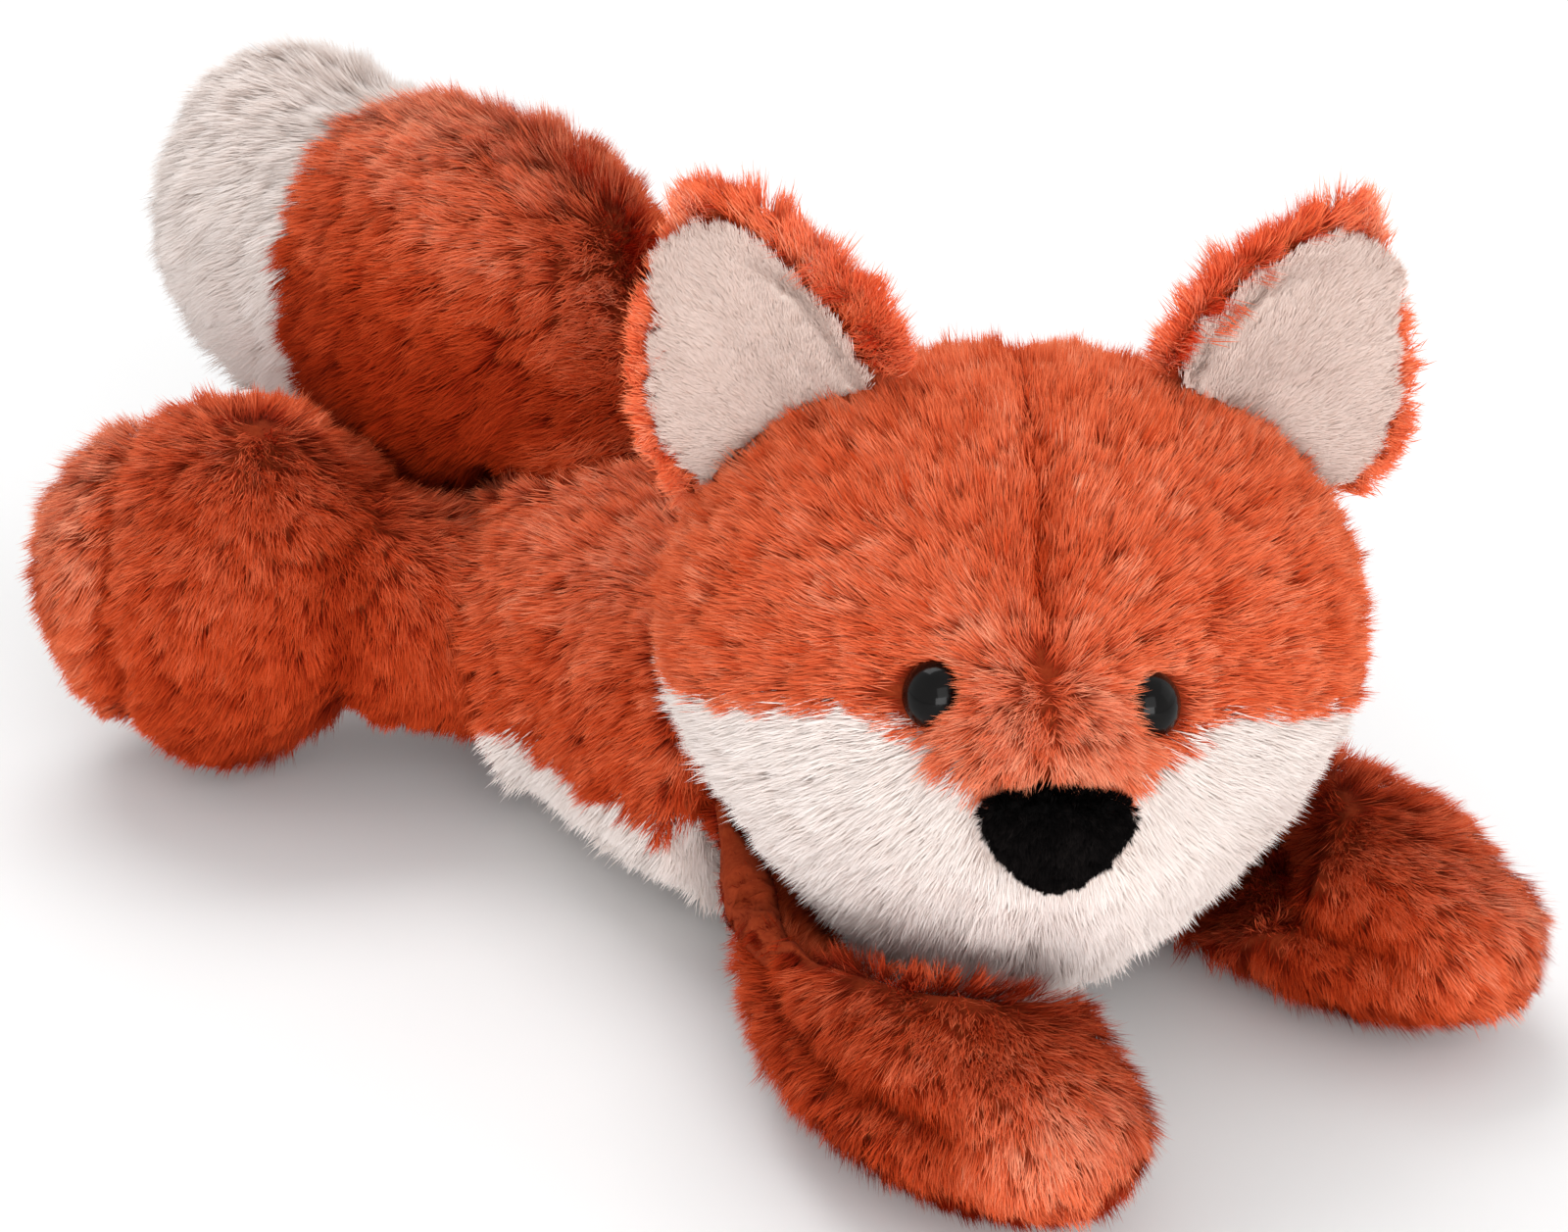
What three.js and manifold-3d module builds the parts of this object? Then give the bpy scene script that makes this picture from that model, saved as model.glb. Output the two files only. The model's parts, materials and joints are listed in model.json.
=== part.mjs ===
import * as THREE from 'three';
import { mergeVertices } from 'three/addons/utils/BufferGeometryUtils.js';
import Module from 'manifold-3d';

// A plush fox that lies on its belly, with its head turned to its right and its tail held up.
// Lengths are in millimetres. The fox faces -Y, its right side is -X and +Z is up.
// The origin is on the floor, below the middle of the belly.
// Outer surfaces are the envelope of the combed pile, a little below the tips of the hairs.

const wasm = await Module();
wasm.setup();

// Cloth and clearances
const COVER = 8; // cloth backing with its pile
const GAP = 0.3; // between neighbouring pieces
const FLAT_DEPTH = 0.5; // how deep a stuffed form is pressed flat where it lies on the floor
const RIM = 3; // more room between a limb and the torso outside the limb's seat
const HEAD_SLACK = 0.3; // more room round the head, which turns against the torso
const OVERRUN = 300; // how far a cutting tool reaches past what it cuts

// Torso
const TORSO_LENGTH = 156;
const TORSO_WIDTH = 110;
const TORSO_HEIGHT = 93;
const BELLY_PANEL_HEIGHT = 22;
const torsoFrontShare = 0.4; // of the length, ahead of the origin
const torsoSwellShares = [ // along, width, height
  [0, 0.98, 0.9],
  [0.32, 1.08, 1],
  [0.68, 1.02, 0.98],
  [1, 0.92, 0.86],
];

// Head
const HEAD_WIDTH = 154;
const HEAD_DEPTH = 122;
const HEAD_HEIGHT = 150;
const CHIN_CLEARANCE = 3;
const SNOUT_REACH = 23;
const NECK_DIAMETER = 54;
const HEAD_TURN = -36; // degrees, at rest
const HEAD_TILT = 3;
const HEAD_TURN_RANGE = [-6, 24];
const headSideShare = -0.035; // of the torso's width
const headForwardShare = -0.515; // of the torso's length
const jowlShare = 0.4; // how much narrower the head is at its very bottom
const browShare = 0.13; // how much wider it is at its very top
const SNOUT_SPREAD = 29; // degrees
const SNOUT_RISE = 4.5; // degrees above level
const cheekLineShares = [ // across from the middle, up from the middle
  [0, 0.1],
  [0.13, 0.12],
  [0.3, 0.19],
  [0.46, 0.22],
  [0.75, 0.08],
  [1, -0.1],
  [1.4, -0.14],
];

// Nose
const NOSE_WIDTH = 34;
const NOSE_HEIGHT = 24;
const NOSE_DEPTH = 16;
const NOSE_PROUD = 4;
const noseNarrowShare = 0.5;

// Eyes
const EYE_DIAMETER = 14;
const EYE_HEIGHT = 6;
const EYE_SINK = 0.5;
const EYE_SPACING = 50;
const EYE_SHIFT = -2; // both are sewn on a little towards its right
const SHANK_DIAMETER = 4;
const SHANK_LENGTH = 12;
const WASHER_DIAMETER = 17;
const WASHER_THICKNESS = 2;
const EYE_SIDES = 14;
const eyeHeightShare = 0.385; // above the middle of the head, of half its height

// Ears
const EAR_HEIGHT = 84;
const EAR_WIDTH = 70;
const EAR_THICKNESS = 11;
const EAR_CUP = 11;
const LINING_THICKNESS = 4;
const EAR_LEAN = 30; // degrees, outward
const EAR_BACK = 6; // degrees
const EAR_FACING = 14; // degrees, outward
const EAR_FOLD_RANGE = [-8, 18];
const liningShare = 0.8;
const liningRiseShare = 0.08;
const earHingeShare = 0.2; // of its height, where it folds
const earFullShare = 1.256; // how full its sides are
const EAR_POINT = 0.42; // the power by which they draw in to the tip
const earPlaceShares = [0.48, 0.1, 0.5]; // of half the head's width, depth and height

// Forelegs
const FORELEG_LENGTH = 136;
const FORELEG_ROOT = 46;
const PAW_WIDTH = 74;
const PAW_HEIGHT = 54;
const PAW_DROP = 0.9; // how much lower it lies than a paw of constant height would
const FORELEG_SOLE_HEIGHT = 15;
const FORELEG_SPLAYS = [4, 0]; // degrees outward, of the right one and the left one
const FORELEG_SWING_RANGE = [-8, 10]; // inward and outward
const forelegPlaceShares = [0.3, -0.28, 0.38]; // of the torso's width, length and height
const forelegRouteShares = [ // outward, forward
  [0.1, 0.26],
  [0.15, 0.56],
  [0.15, 0.8],
  [0.12, 1],
];
const forelegSwellShares = [ // along, from the root's size to the paw's
  [0, 0],
  [0.12, 0],
  [0.74, 1],
  [1, 1],
];

// Hind legs
const HINDLEG_LENGTH = 117;
const HINDLEG_ROOT = 48;
const HINDLEG_RISE = 9; // from its root to the leg's middle
const FOOT_WIDTH = 84;
const FOOT_HEIGHT = 96;
const FOOT_SOLE_DEPTH = 15;
const HINDLEG_SWING_RANGE = [-2, 10]; // inward and outward
const hindlegPlaceShares = [0.27, 0.4, 0.4]; // of the torso's width, length and height
const hindlegRouteShares = [ // outward, backward
  [0.22, 0.2],
  [0.43, 0.5],
  [0.64, 0.77],
];
const hindlegSwellShares = [
  [0, 0],
  [0.16, 0.1],
  [0.4, 0.3],
  [0.62, 0.96],
  [1, 1],
];

// Tail
const TAIL_LENGTH = 194;
const TAIL_ROOT = 50;
const TAIL_WIDTH = 88;
const TAIL_HEIGHT = 103;
const TAIL_TIP_LENGTH = 86;
const TAIL_SWING_RANGE = [-4, 4];
const tailPlaceShares = [0, 0.36, 0.82]; // of the torso's width, length and height
const tailRouteShares = [ // sideways, backward, up, of the tail's length
  [0, 0.1, 0.09],
  [0, 0.34, 0.13],
  [0, 0.64, 0.11],
  [0.04, 0.91, 0.235],
];
const tailSwellShares = [ // along, from the root's size to the full width
  [0, 0],
  [0.1, 0.25],
  [0.38, 1.06],
  [0.66, 0.84],
  [0.88, 1.14],
  [1, 1.14],
];

// How much of its root's width each limb has where it is sewn on
const seamShare = 0.88;

// How many fewer rings and sides the hollow inside a limb's cover has
const hollowRingsShare = 0.6;
const hollowSidesShare = 0.7;

// Roundness: of each form's ends, and of the torso's section
const END_ROUND = 2.6;
const TORSO_SQUARE = 2.9;

// Materials
const FUR = { color: 0xd6542d, roughness: 0.95, metalness: 0 };
const WHITE_FUR = { color: 0xece4e0, roughness: 0.95, metalness: 0 };
const LINING = { color: 0xe4d6d0, roughness: 0.9, metalness: 0 };
const NOSE_BLACK = { color: 0x0d0b0b, roughness: 0.8, metalness: 0 };
const EYE_BLACK = { color: 0x070607, roughness: 0.05, metalness: 0 };
const FILLING = { color: 0xf4f2ee, roughness: 1, metalness: 0 };
const WASHER_WHITE = { color: 0xe8e8e4, roughness: 0.5, metalness: 0 };

const RIGHT_AND_LEFT = [['right', -1], ['left', 1]];
const UP = new THREE.Vector3(0, 0, 1);
const FORWARD = new THREE.Vector3(0, -1, 0);
const ACROSS = new THREE.Vector3(1, 0, 0);
const radians = THREE.MathUtils.degToRad;
const SNOUT_WAY = FORWARD.clone().applyAxisAngle(ACROSS, -radians(SNOUT_RISE));
const V = (x, y, z) => new THREE.Vector3(x, y, z);

// Looks a column of a table up at a place along its first column, easing between its rows.
function eased(table, s, column) {
  const last = table.length - 1;
  let i = 0;
  while (i < last - 1 && s > table[i + 1][0]) {
    i += 1;
  }
  const [from, to] = [table[i], table[i + 1]];
  const t = THREE.MathUtils.smoothstep(s, from[0], to[0]);
  return THREE.MathUtils.lerp(from[column], to[column], t);
}

// Closes a geometry's seams, so that each corner is one vertex.
function closed(geometry) {
  geometry.deleteAttribute('normal');
  geometry.deleteAttribute('uv');
  const merged = mergeVertices(geometry);
  merged.computeVertexNormals();
  return merged;
}

// Moves a surface outward by a distance, or inward by a negative one.
function grown(geometry, distance) {
  const moved = geometry.clone();
  const place = moved.attributes.position;
  const normal = geometry.attributes.normal;
  const point = V(0, 0, 0);
  const step = V(0, 0, 0);
  for (let i = 0; i < place.count; i += 1) {
    point.fromBufferAttribute(place, i);
    step.fromBufferAttribute(normal, i);
    point.addScaledVector(step, distance);
    place.setXYZ(i, point.x, point.y, point.z);
  }
  return moved;
}

function solid(geometry) {
  const mesh = new wasm.Mesh({
    numProp: 3,
    vertProperties: new Float32Array(geometry.attributes.position.array),
    triVerts: new Uint32Array(geometry.index.array),
  });
  return new wasm.Manifold(mesh);
}

function geometryOf(manifold) {
  const { vertProperties, triVerts } = manifold.getMesh();
  const geometry = new THREE.BufferGeometry();
  geometry.setAttribute('position', new THREE.Float32BufferAttribute(vertProperties, 3));
  geometry.setIndex(Array.from(triVerts));
  geometry.computeVertexNormals();
  return geometry;
}

// Drops the crumbs that a cut leaves beside a piece.
function whole(manifold) {
  const bodies = manifold.decompose();
  bodies.sort((a, b) => b.volume() - a.volume());
  return bodies[0];
}

function moved(manifold, matrix) {
  return manifold.transform(matrix.elements);
}

// The space that a solid needs as it turns about an axis through a pivot.
function swept(manifold, pivot, axis, angles) {
  let all = manifold;
  for (const angle of angles) {
    const turn = new THREE.Matrix4().makeTranslation(pivot);
    turn.multiply(new THREE.Matrix4().makeRotationAxis(axis, radians(angle)));
    turn.multiply(new THREE.Matrix4().makeTranslation(pivot.clone().negate()));
    all = all.add(moved(manifold, turn));
  }
  return all;
}

// Its facets run round the vertical axis that it turns on.
function ball(centre, radius) {
  const geometry = closed(new THREE.SphereGeometry(radius, 22, 8)).rotateX(Math.PI / 2);
  return solid(geometry.translate(centre.x, centre.y, centre.z));
}

// A box of the whole space on one side of a plane.
function half(point, direction) {
  const geometry = closed(new THREE.BoxGeometry(2 * OVERRUN, 2 * OVERRUN, 2 * OVERRUN));
  geometry.translate(0, 0, OVERRUN);
  geometry.applyQuaternion(new THREE.Quaternion().setFromUnitVectors(UP, direction));
  return solid(geometry.translate(point.x, point.y, point.z));
}

// A stuffed form along a path: rounded sections that swell and taper, closed at both ends.
function stuffed({ path, sizes, square = 2, rings, sides }) {
  const points = [];
  const index = [];
  for (let i = 0; i <= rings; i += 1) {
    const s = (1 - Math.cos((Math.PI * i) / rings)) / 2;
    const round = (1 - Math.abs(2 * s - 1) ** END_ROUND) ** (1 / END_ROUND);
    const centre = path.getPointAt(s);
    const tangent = path.getTangentAt(s);
    const across = V(0, 0, 0).crossVectors(tangent, UP).normalize();
    const lift = V(0, 0, 0).crossVectors(across, tangent);
    const [width, height] = sizes(s);
    for (let j = 0; j < sides; j += 1) {
      const turn = (2 * Math.PI * j) / sides;
      const [c, d] = [Math.cos(turn), Math.sin(turn)];
      const full = (Math.abs(c) ** square + Math.abs(d) ** square) ** (-1 / square);
      const point = centre.clone();
      point.addScaledVector(across, (c * full * width * round) / 2);
      point.addScaledVector(lift, (d * full * height * round) / 2);
      points.push(point.x, point.y, point.z);
    }
  }
  for (let i = 0; i < rings; i += 1) {
    for (let j = 0; j < sides; j += 1) {
      const a = i * sides + j;
      const b = i * sides + ((j + 1) % sides);
      if (i > 0) {
        index.push(a, a + sides, b);
      }
      if (i < rings - 1) {
        index.push(b, a + sides, b + sides);
      }
    }
  }
  const geometry = new THREE.BufferGeometry();
  geometry.setAttribute('position', new THREE.Float32BufferAttribute(points, 3));
  geometry.setIndex(index);
  return closed(geometry);
}

const group = new THREE.Group();

function add(name, manifold, look, parent = group) {
  const material = new THREE.MeshStandardMaterial(look);
  const mesh = new THREE.Mesh(geometryOf(whole(manifold)), material);
  mesh.name = name;
  parent.add(mesh);
}

// The floor presses every form flat.
const aboveFloor = half(V(0, 0, 0), UP);

// Torso form
const torsoMiddle = TORSO_HEIGHT / 2 - FLAT_DEPTH;
const onTorso = ([x, y, z], side = 1) => V(
  side * x * TORSO_WIDTH,
  y * TORSO_LENGTH,
  z * TORSO_HEIGHT,
);
function torsoForm(rings, sides) {
  return stuffed({
    path: new THREE.LineCurve3(
      V(0, -TORSO_LENGTH * torsoFrontShare, torsoMiddle),
      V(0, TORSO_LENGTH * (1 - torsoFrontShare), torsoMiddle),
    ),
    sizes: (s) => [
      TORSO_WIDTH * eased(torsoSwellShares, s, 1),
      TORSO_HEIGHT * eased(torsoSwellShares, s, 2),
    ],
    square: TORSO_SQUARE,
    rings,
    sides,
  });
}

// Head form, in the head's own frame: a ball that narrows to the jowls, with a short snout.
function headPoint(d) {
  const low = Math.max(-d.z, 0);
  const high = Math.max(d.z, 0);
  const snout = Math.exp(-((d.angleTo(SNOUT_WAY) / radians(SNOUT_SPREAD)) ** 2));
  return V(
    (d.x * HEAD_WIDTH * (1 - jowlShare * low) * (1 + browShare * high)) / 2,
    (d.y * HEAD_DEPTH) / 2 - snout * SNOUT_REACH,
    (d.z * HEAD_HEIGHT) / 2,
  );
}
function headForm(across, down) {
  const geometry = closed(new THREE.SphereGeometry(1, across, down));
  geometry.rotateX(Math.PI / 2);
  const place = geometry.attributes.position;
  const d = V(0, 0, 0);
  for (let i = 0; i < place.count; i += 1) {
    const point = headPoint(d.fromBufferAttribute(place, i));
    place.setXYZ(i, point.x, point.y, point.z);
  }
  geometry.computeVertexNormals();
  return geometry;
}

// Which way the head's surface faces, in a direction from its middle.
function headNormal(d) {
  const sideways = V(0, 0, 0).crossVectors(UP, d).normalize();
  const upward = V(0, 0, 0).crossVectors(d, sideways);
  const small = 0.01;
  const at = headPoint(d);
  const toSide = headPoint(d.clone().addScaledVector(sideways, small).normalize()).sub(at);
  const toTop = headPoint(d.clone().addScaledVector(upward, small).normalize()).sub(at);
  return toSide.cross(toTop).normalize();
}

const head = new THREE.Group();
head.position.set(
  TORSO_WIDTH * headSideShare,
  TORSO_LENGTH * headForwardShare,
  CHIN_CLEARANCE + HEAD_HEIGHT / 2,
);
head.rotation.set(0, radians(HEAD_TILT), radians(HEAD_TURN), 'ZYX');
group.add(head);
group.updateMatrixWorld(true);

const headOuter = headForm(22, 15);
const headCoarse = headForm(12, 9);
const headPlace = head.matrixWorld;
const headAround = moved(solid(grown(headOuter, GAP + HEAD_SLACK)), headPlace);
const [leastTurn, mostTurn] = HEAD_TURN_RANGE;
const headTurns = [leastTurn, mostTurn / 3, (2 * mostTurn) / 3, mostTurn];
const headSwept = swept(headAround, head.position, UP, headTurns);
const headLimits = swept(
  moved(solid(grown(headForm(16, 11), GAP + RIM)), headPlace),
  head.position,
  UP,
  HEAD_TURN_RANGE,
);

// Where the limbs and the tail are sewn on: each has a ball-shaped root in a hollow of the torso.
const forelegPivots = RIGHT_AND_LEFT.map(([, side]) => onTorso(forelegPlaceShares, side));
const hindlegPivots = RIGHT_AND_LEFT.map(([, side]) => onTorso(hindlegPlaceShares, side));
const tailPivot = onTorso(tailPlaceShares);
const roots = [
  ...forelegPivots.map((pivot) => [pivot, FORELEG_ROOT / 2]),
  ...hindlegPivots.map((pivot) => [pivot, HINDLEG_ROOT / 2]),
  [tailPivot, TAIL_ROOT / 2],
];

// Torso
const torsoOuter = torsoForm(14, 16);
const torsoCoarse = torsoForm(10, 14);
let torso = solid(torsoOuter).intersect(aboveFloor).subtract(headSwept);
for (const [pivot, radius] of roots) {
  torso = torso.subtract(ball(pivot, radius + GAP));
}
const torsoCover = torso.subtract(solid(grown(torsoCoarse, -COVER)));
const bellyLine = V(0, 0, BELLY_PANEL_HEIGHT);
const halfGap = V(0, 0, GAP / 2);
add('torso_back_cover', torsoCover.intersect(half(bellyLine.clone().add(halfGap), UP)), FUR);
add(
  'torso_belly_cover',
  torsoCover.subtract(half(bellyLine.clone().sub(halfGap), UP)),
  WHITE_FUR,
);
add('torso_stuffing', torso.intersect(solid(grown(torsoCoarse, -COVER - GAP))), FILLING);

// What a limb is cut by, so that it clears the torso wherever it swings: seen from the limb,
// the torso turns the other way.
const turnedBack = (range) => range.map((angle) => -angle);
function torsoAround(pivot, radius, range) {
  const around = swept(solid(grown(torsoCoarse, GAP + RIM)), pivot, UP, turnedBack(range));
  return around.subtract(ball(pivot, radius));
}

// A limb or tail: its full form, and the hollow inside its cover.
function limb({ pivot, root, route, sizes, rings, sides, cutters }) {
  const along = route[0].clone().sub(pivot).normalize();
  const start = pivot.clone().addScaledVector(along, -root / 2);
  const deeper = start.clone().addScaledVector(along, -root / 2);
  const path = new THREE.CatmullRomCurve3([start, ...route]);
  const longer = new THREE.CatmullRomCurve3([deeper, start, ...route]);
  const stretch = longer.getLength() / path.getLength();
  const outer = stuffed({ path, sizes, rings, sides });
  const coarse = stuffed({
    path: longer,
    sizes: (s) => sizes(Math.max(1 - (1 - s) * stretch, 0)),
    rings: Math.round(rings * hollowRingsShare),
    sides: Math.round(sides * hollowSidesShare),
  });
  let form = solid(outer).add(ball(pivot, root / 2)).intersect(aboveFloor);
  for (const cutter of cutters) {
    form = form.subtract(cutter);
  }
  return {
    form,
    path,
    hollow: solid(grown(coarse, -COVER)),
    core: solid(grown(coarse, -COVER - GAP)),
  };
}

// A limb's width and height along it, from its root's size to its own.
function limbSizes(root, width, height, table) {
  const seam = root * seamShare;
  return (s) => {
    const t = eased(table, s, 1);
    return [THREE.MathUtils.lerp(seam, width, t), THREE.MathUtils.lerp(seam, height, t)];
  };
}

// Tail
const tailRoute = tailRouteShares.map((shares) => V(...shares)
  .multiplyScalar(TAIL_LENGTH)
  .add(tailPivot));
const tail = limb({
  pivot: tailPivot,
  root: TAIL_ROOT,
  route: tailRoute,
  sizes: limbSizes(TAIL_ROOT, TAIL_WIDTH, TAIL_HEIGHT, tailSwellShares),
  rings: 14,
  sides: 14,
  cutters: [torsoAround(tailPivot, TAIL_ROOT / 2, TAIL_SWING_RANGE)],
});
const tipShare = 1 - TAIL_TIP_LENGTH / tail.path.getLength();
const tipAt = tail.path.getPointAt(tipShare);
const tipWay = tail.path.getTangentAt(tipShare);
const tipGap = tipWay.clone().multiplyScalar(GAP / 2);
const tailCover = tail.form.subtract(tail.hollow);
add('tail_cover', tailCover.subtract(half(tipAt.clone().sub(tipGap), tipWay)), FUR);
add('tail_tip_cover', tailCover.intersect(half(tipAt.clone().add(tipGap), tipWay)), WHITE_FUR);
add('tail_stuffing', tail.form.intersect(tail.core), FILLING);

// Hind legs
for (const [i, [name, side]] of RIGHT_AND_LEFT.entries()) {
  const pivot = hindlegPivots[i];
  const range = HINDLEG_SWING_RANGE.map((angle) => -side * angle);
  const route = hindlegRouteShares.map(([out, back], k) => V(
    pivot.x + side * out * HINDLEG_LENGTH,
    pivot.y + back * HINDLEG_LENGTH,
    k === 0 ? pivot.z + HINDLEG_RISE : FOOT_HEIGHT / 2 - FLAT_DEPTH,
  ));
  const leg = limb({
    pivot,
    root: HINDLEG_ROOT,
    route,
    sizes: limbSizes(HINDLEG_ROOT, FOOT_WIDTH, FOOT_HEIGHT, hindlegSwellShares),
    rings: 14,
    sides: 12,
    cutters: [torsoAround(pivot, HINDLEG_ROOT / 2, range)],
  });
  const cover = leg.form.subtract(leg.hollow);
  const way = leg.path.getTangentAt(1);
  const line = leg.path.getPointAt(1).addScaledVector(way, -FOOT_SOLE_DEPTH);
  const gap = way.clone().multiplyScalar(GAP / 2);
  add(`hindleg_cover_${name}`, cover.subtract(half(line.clone().sub(gap), way)), FUR);
  add(`hindleg_sole_${name}`, cover.intersect(half(line.clone().add(gap), way)), FUR);
  add(`hindleg_stuffing_${name}`, leg.form.intersect(leg.core), FILLING);
}

// Forelegs
for (const [i, [name, side]] of RIGHT_AND_LEFT.entries()) {
  const pivot = forelegPivots[i];
  const range = FORELEG_SWING_RANGE.map((angle) => side * angle);
  const route = forelegRouteShares.map(([out, ahead]) => {
    const step = V(side * out, -ahead, 0).multiplyScalar(FORELEG_LENGTH);
    step.applyAxisAngle(UP, radians(FORELEG_SPLAYS[i]) * side);
    return step.add(V(pivot.x, pivot.y, PAW_HEIGHT / 2 - FLAT_DEPTH - PAW_DROP));
  });
  const leg = limb({
    pivot,
    root: FORELEG_ROOT,
    route,
    sizes: limbSizes(FORELEG_ROOT, PAW_WIDTH, PAW_HEIGHT, forelegSwellShares),
    rings: 14,
    sides: 12,
    cutters: [
      torsoAround(pivot, FORELEG_ROOT / 2, range),
      swept(headLimits, pivot, UP, turnedBack(range)),
    ],
  });
  const cover = leg.form.subtract(leg.hollow);
  const line = V(0, 0, FORELEG_SOLE_HEIGHT);
  add(`foreleg_cover_${name}`, cover.intersect(half(line.clone().add(halfGap), UP)), FUR);
  add(`foreleg_sole_${name}`, cover.subtract(half(line.clone().sub(halfGap), UP)), FUR);
  add(`foreleg_stuffing_${name}`, leg.form.intersect(leg.core), FILLING);
}

// Nose: a padded black patch, broad above and narrow below
function noseForm() {
  const geometry = closed(new THREE.SphereGeometry(1, 14, 10));
  geometry.rotateX(Math.PI / 2);
  const place = geometry.attributes.position;
  for (let i = 0; i < place.count; i += 1) {
    const low = (1 - place.getZ(i)) / 2;
    place.setXYZ(
      i,
      (place.getX(i) * NOSE_WIDTH * (1 - noseNarrowShare * low ** 2)) / 2,
      (place.getY(i) * NOSE_DEPTH) / 2,
      (place.getZ(i) * NOSE_HEIGHT) / 2,
    );
  }
  geometry.computeVertexNormals();
  const tip = headPoint(SNOUT_WAY);
  return geometry.translate(tip.x, tip.y + NOSE_DEPTH / 2 - NOSE_PROUD, tip.z);
}

// Eyes: a domed button with a shank, held by a washer behind the cloth
const eyeDirections = RIGHT_AND_LEFT.map(([, side]) => {
  const wide = (HEAD_WIDTH * (1 + browShare * eyeHeightShare)) / 2;
  const x = ((side * EYE_SPACING) / 2 + EYE_SHIFT) / wide;
  const z = eyeHeightShare;
  return V(x, -Math.sqrt(1 - x * x - z * z), z);
});
function eyeForm(extra) {
  const radius = EYE_DIAMETER / 2 + extra;
  const profile = [new THREE.Vector2(0, -SHANK_LENGTH - extra)];
  profile.push(new THREE.Vector2(SHANK_DIAMETER / 2 + extra, -SHANK_LENGTH - extra));
  profile.push(new THREE.Vector2(SHANK_DIAMETER / 2 + extra, -extra));
  const steps = 5;
  for (let i = 0; i < steps; i += 1) {
    const turn = (Math.PI * i) / (2 * steps);
    const level = i === 0 ? -extra : (EYE_HEIGHT + extra) * Math.sin(turn);
    profile.push(new THREE.Vector2(radius * Math.cos(turn), level));
  }
  profile.push(new THREE.Vector2(0, EYE_HEIGHT + extra));
  return solid(closed(new THREE.LatheGeometry(profile, EYE_SIDES)));
}

// The open well in the pile over an eye
function eyeWell() {
  const radius = EYE_DIAMETER / 2 + GAP;
  const geometry = closed(new THREE.CylinderGeometry(radius, radius, OVERRUN, EYE_SIDES));
  return solid(geometry.translate(0, OVERRUN / 2, 0));
}

// The washer grips the shank from inside, below the cloth.
const washerTop = -(COVER + GAP - EYE_SINK - EYE_HEIGHT);
function washerForm(extra) {
  const inner = SHANK_DIAMETER / 2 + GAP - extra;
  const outer = WASHER_DIAMETER / 2 + extra;
  const top = washerTop + extra;
  const bottom = washerTop - WASHER_THICKNESS - extra;
  const corners = [[inner, bottom], [outer, bottom], [outer, top], [inner, top], [inner, bottom]];
  const profile = corners.map(([x, y]) => new THREE.Vector2(x, y));
  return solid(closed(new THREE.LatheGeometry(profile, EYE_SIDES)));
}

// Head covers: two crown panels, two cheek panels, with the neck open
const neckAxis = V(0, 0, 0).sub(head.position).add(V(0, 0, torsoMiddle));
neckAxis.applyQuaternion(head.quaternion.clone().invert()).normalize();
function neck(radius) {
  const geometry = closed(new THREE.CylinderGeometry(radius, radius, OVERRUN, 16));
  geometry.translate(0, OVERRUN / 2, 0);
  const turn = new THREE.Quaternion().setFromUnitVectors(V(0, 1, 0), neckAxis);
  return solid(geometry.applyQuaternion(turn));
}
function aboveCheeks(shift) {
  const line = cheekLineShares.map(([x, z]) => [
    (x * HEAD_WIDTH) / 2,
    (z * HEAD_HEIGHT) / 2 + shift,
  ]);
  const mirrored = line.slice(1).reverse().map(([x, z]) => [-x, z]);
  const points = [...mirrored, ...line].map(([x, z]) => new THREE.Vector2(x, z));
  points.push(new THREE.Vector2(points[points.length - 1].x, HEAD_HEIGHT));
  points.push(new THREE.Vector2(points[0].x, HEAD_HEIGHT));
  const shape = new THREE.Shape(points);
  const geometry = new THREE.ExtrudeGeometry(shape, {
    depth: 2 * HEAD_DEPTH,
    bevelEnabled: false,
  });
  geometry.rotateX(Math.PI / 2);
  geometry.translate(0, HEAD_DEPTH, 0);
  return solid(closed(geometry));
}
let headCover = solid(headOuter).subtract(solid(grown(headCoarse, -COVER)));
headCover = headCover.subtract(neck(NECK_DIAMETER / 2));
let headCore = solid(grown(headCoarse, -COVER - GAP)).add(neck(NECK_DIAMETER / 2 - GAP));
headCore = headCore.intersect(solid(headOuter));
headCover = headCover.subtract(solid(grown(noseForm(), GAP)));
headCore = headCore.subtract(solid(grown(noseForm(), GAP)));
for (const direction of eyeDirections) {
  const normal = headNormal(direction);
  const seat = headPoint(direction).addScaledVector(normal, -EYE_SINK - EYE_HEIGHT);
  const place = new THREE.Matrix4().compose(
    seat,
    new THREE.Quaternion().setFromUnitVectors(V(0, 1, 0), normal),
    V(1, 1, 1),
  );
  for (const piece of [eyeForm(GAP), washerForm(GAP), eyeWell()]) {
    headCover = headCover.subtract(moved(piece, place));
    headCore = headCore.subtract(moved(piece, place));
  }
}
for (const [name, side] of RIGHT_AND_LEFT) {
  const sideHalf = half(V((side * GAP) / 2, 0, 0), V(side, 0, 0));
  const panels = headCover.intersect(sideHalf);
  add(`head_crown_${name}`, panels.intersect(aboveCheeks(GAP / 2)), FUR, head);
  add(`head_cheek_${name}`, panels.subtract(aboveCheeks(-GAP / 2)), WHITE_FUR, head);
}
add('head_stuffing', headCore, FILLING, head);
add('nose_pad', solid(noseForm()), NOSE_BLACK, head);
for (const [i, [name]] of RIGHT_AND_LEFT.entries()) {
  const normal = headNormal(eyeDirections[i]);
  const holder = new THREE.Group();
  holder.position.copy(headPoint(eyeDirections[i]));
  holder.position.addScaledVector(normal, -EYE_SINK - EYE_HEIGHT);
  holder.quaternion.setFromUnitVectors(V(0, 1, 0), normal);
  head.add(holder);
  add(`eye_${name}`, eyeForm(0), EYE_BLACK, holder);
  add(`eye_washer_${name}`, washerForm(0), WASHER_WHITE, holder);
}

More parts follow.
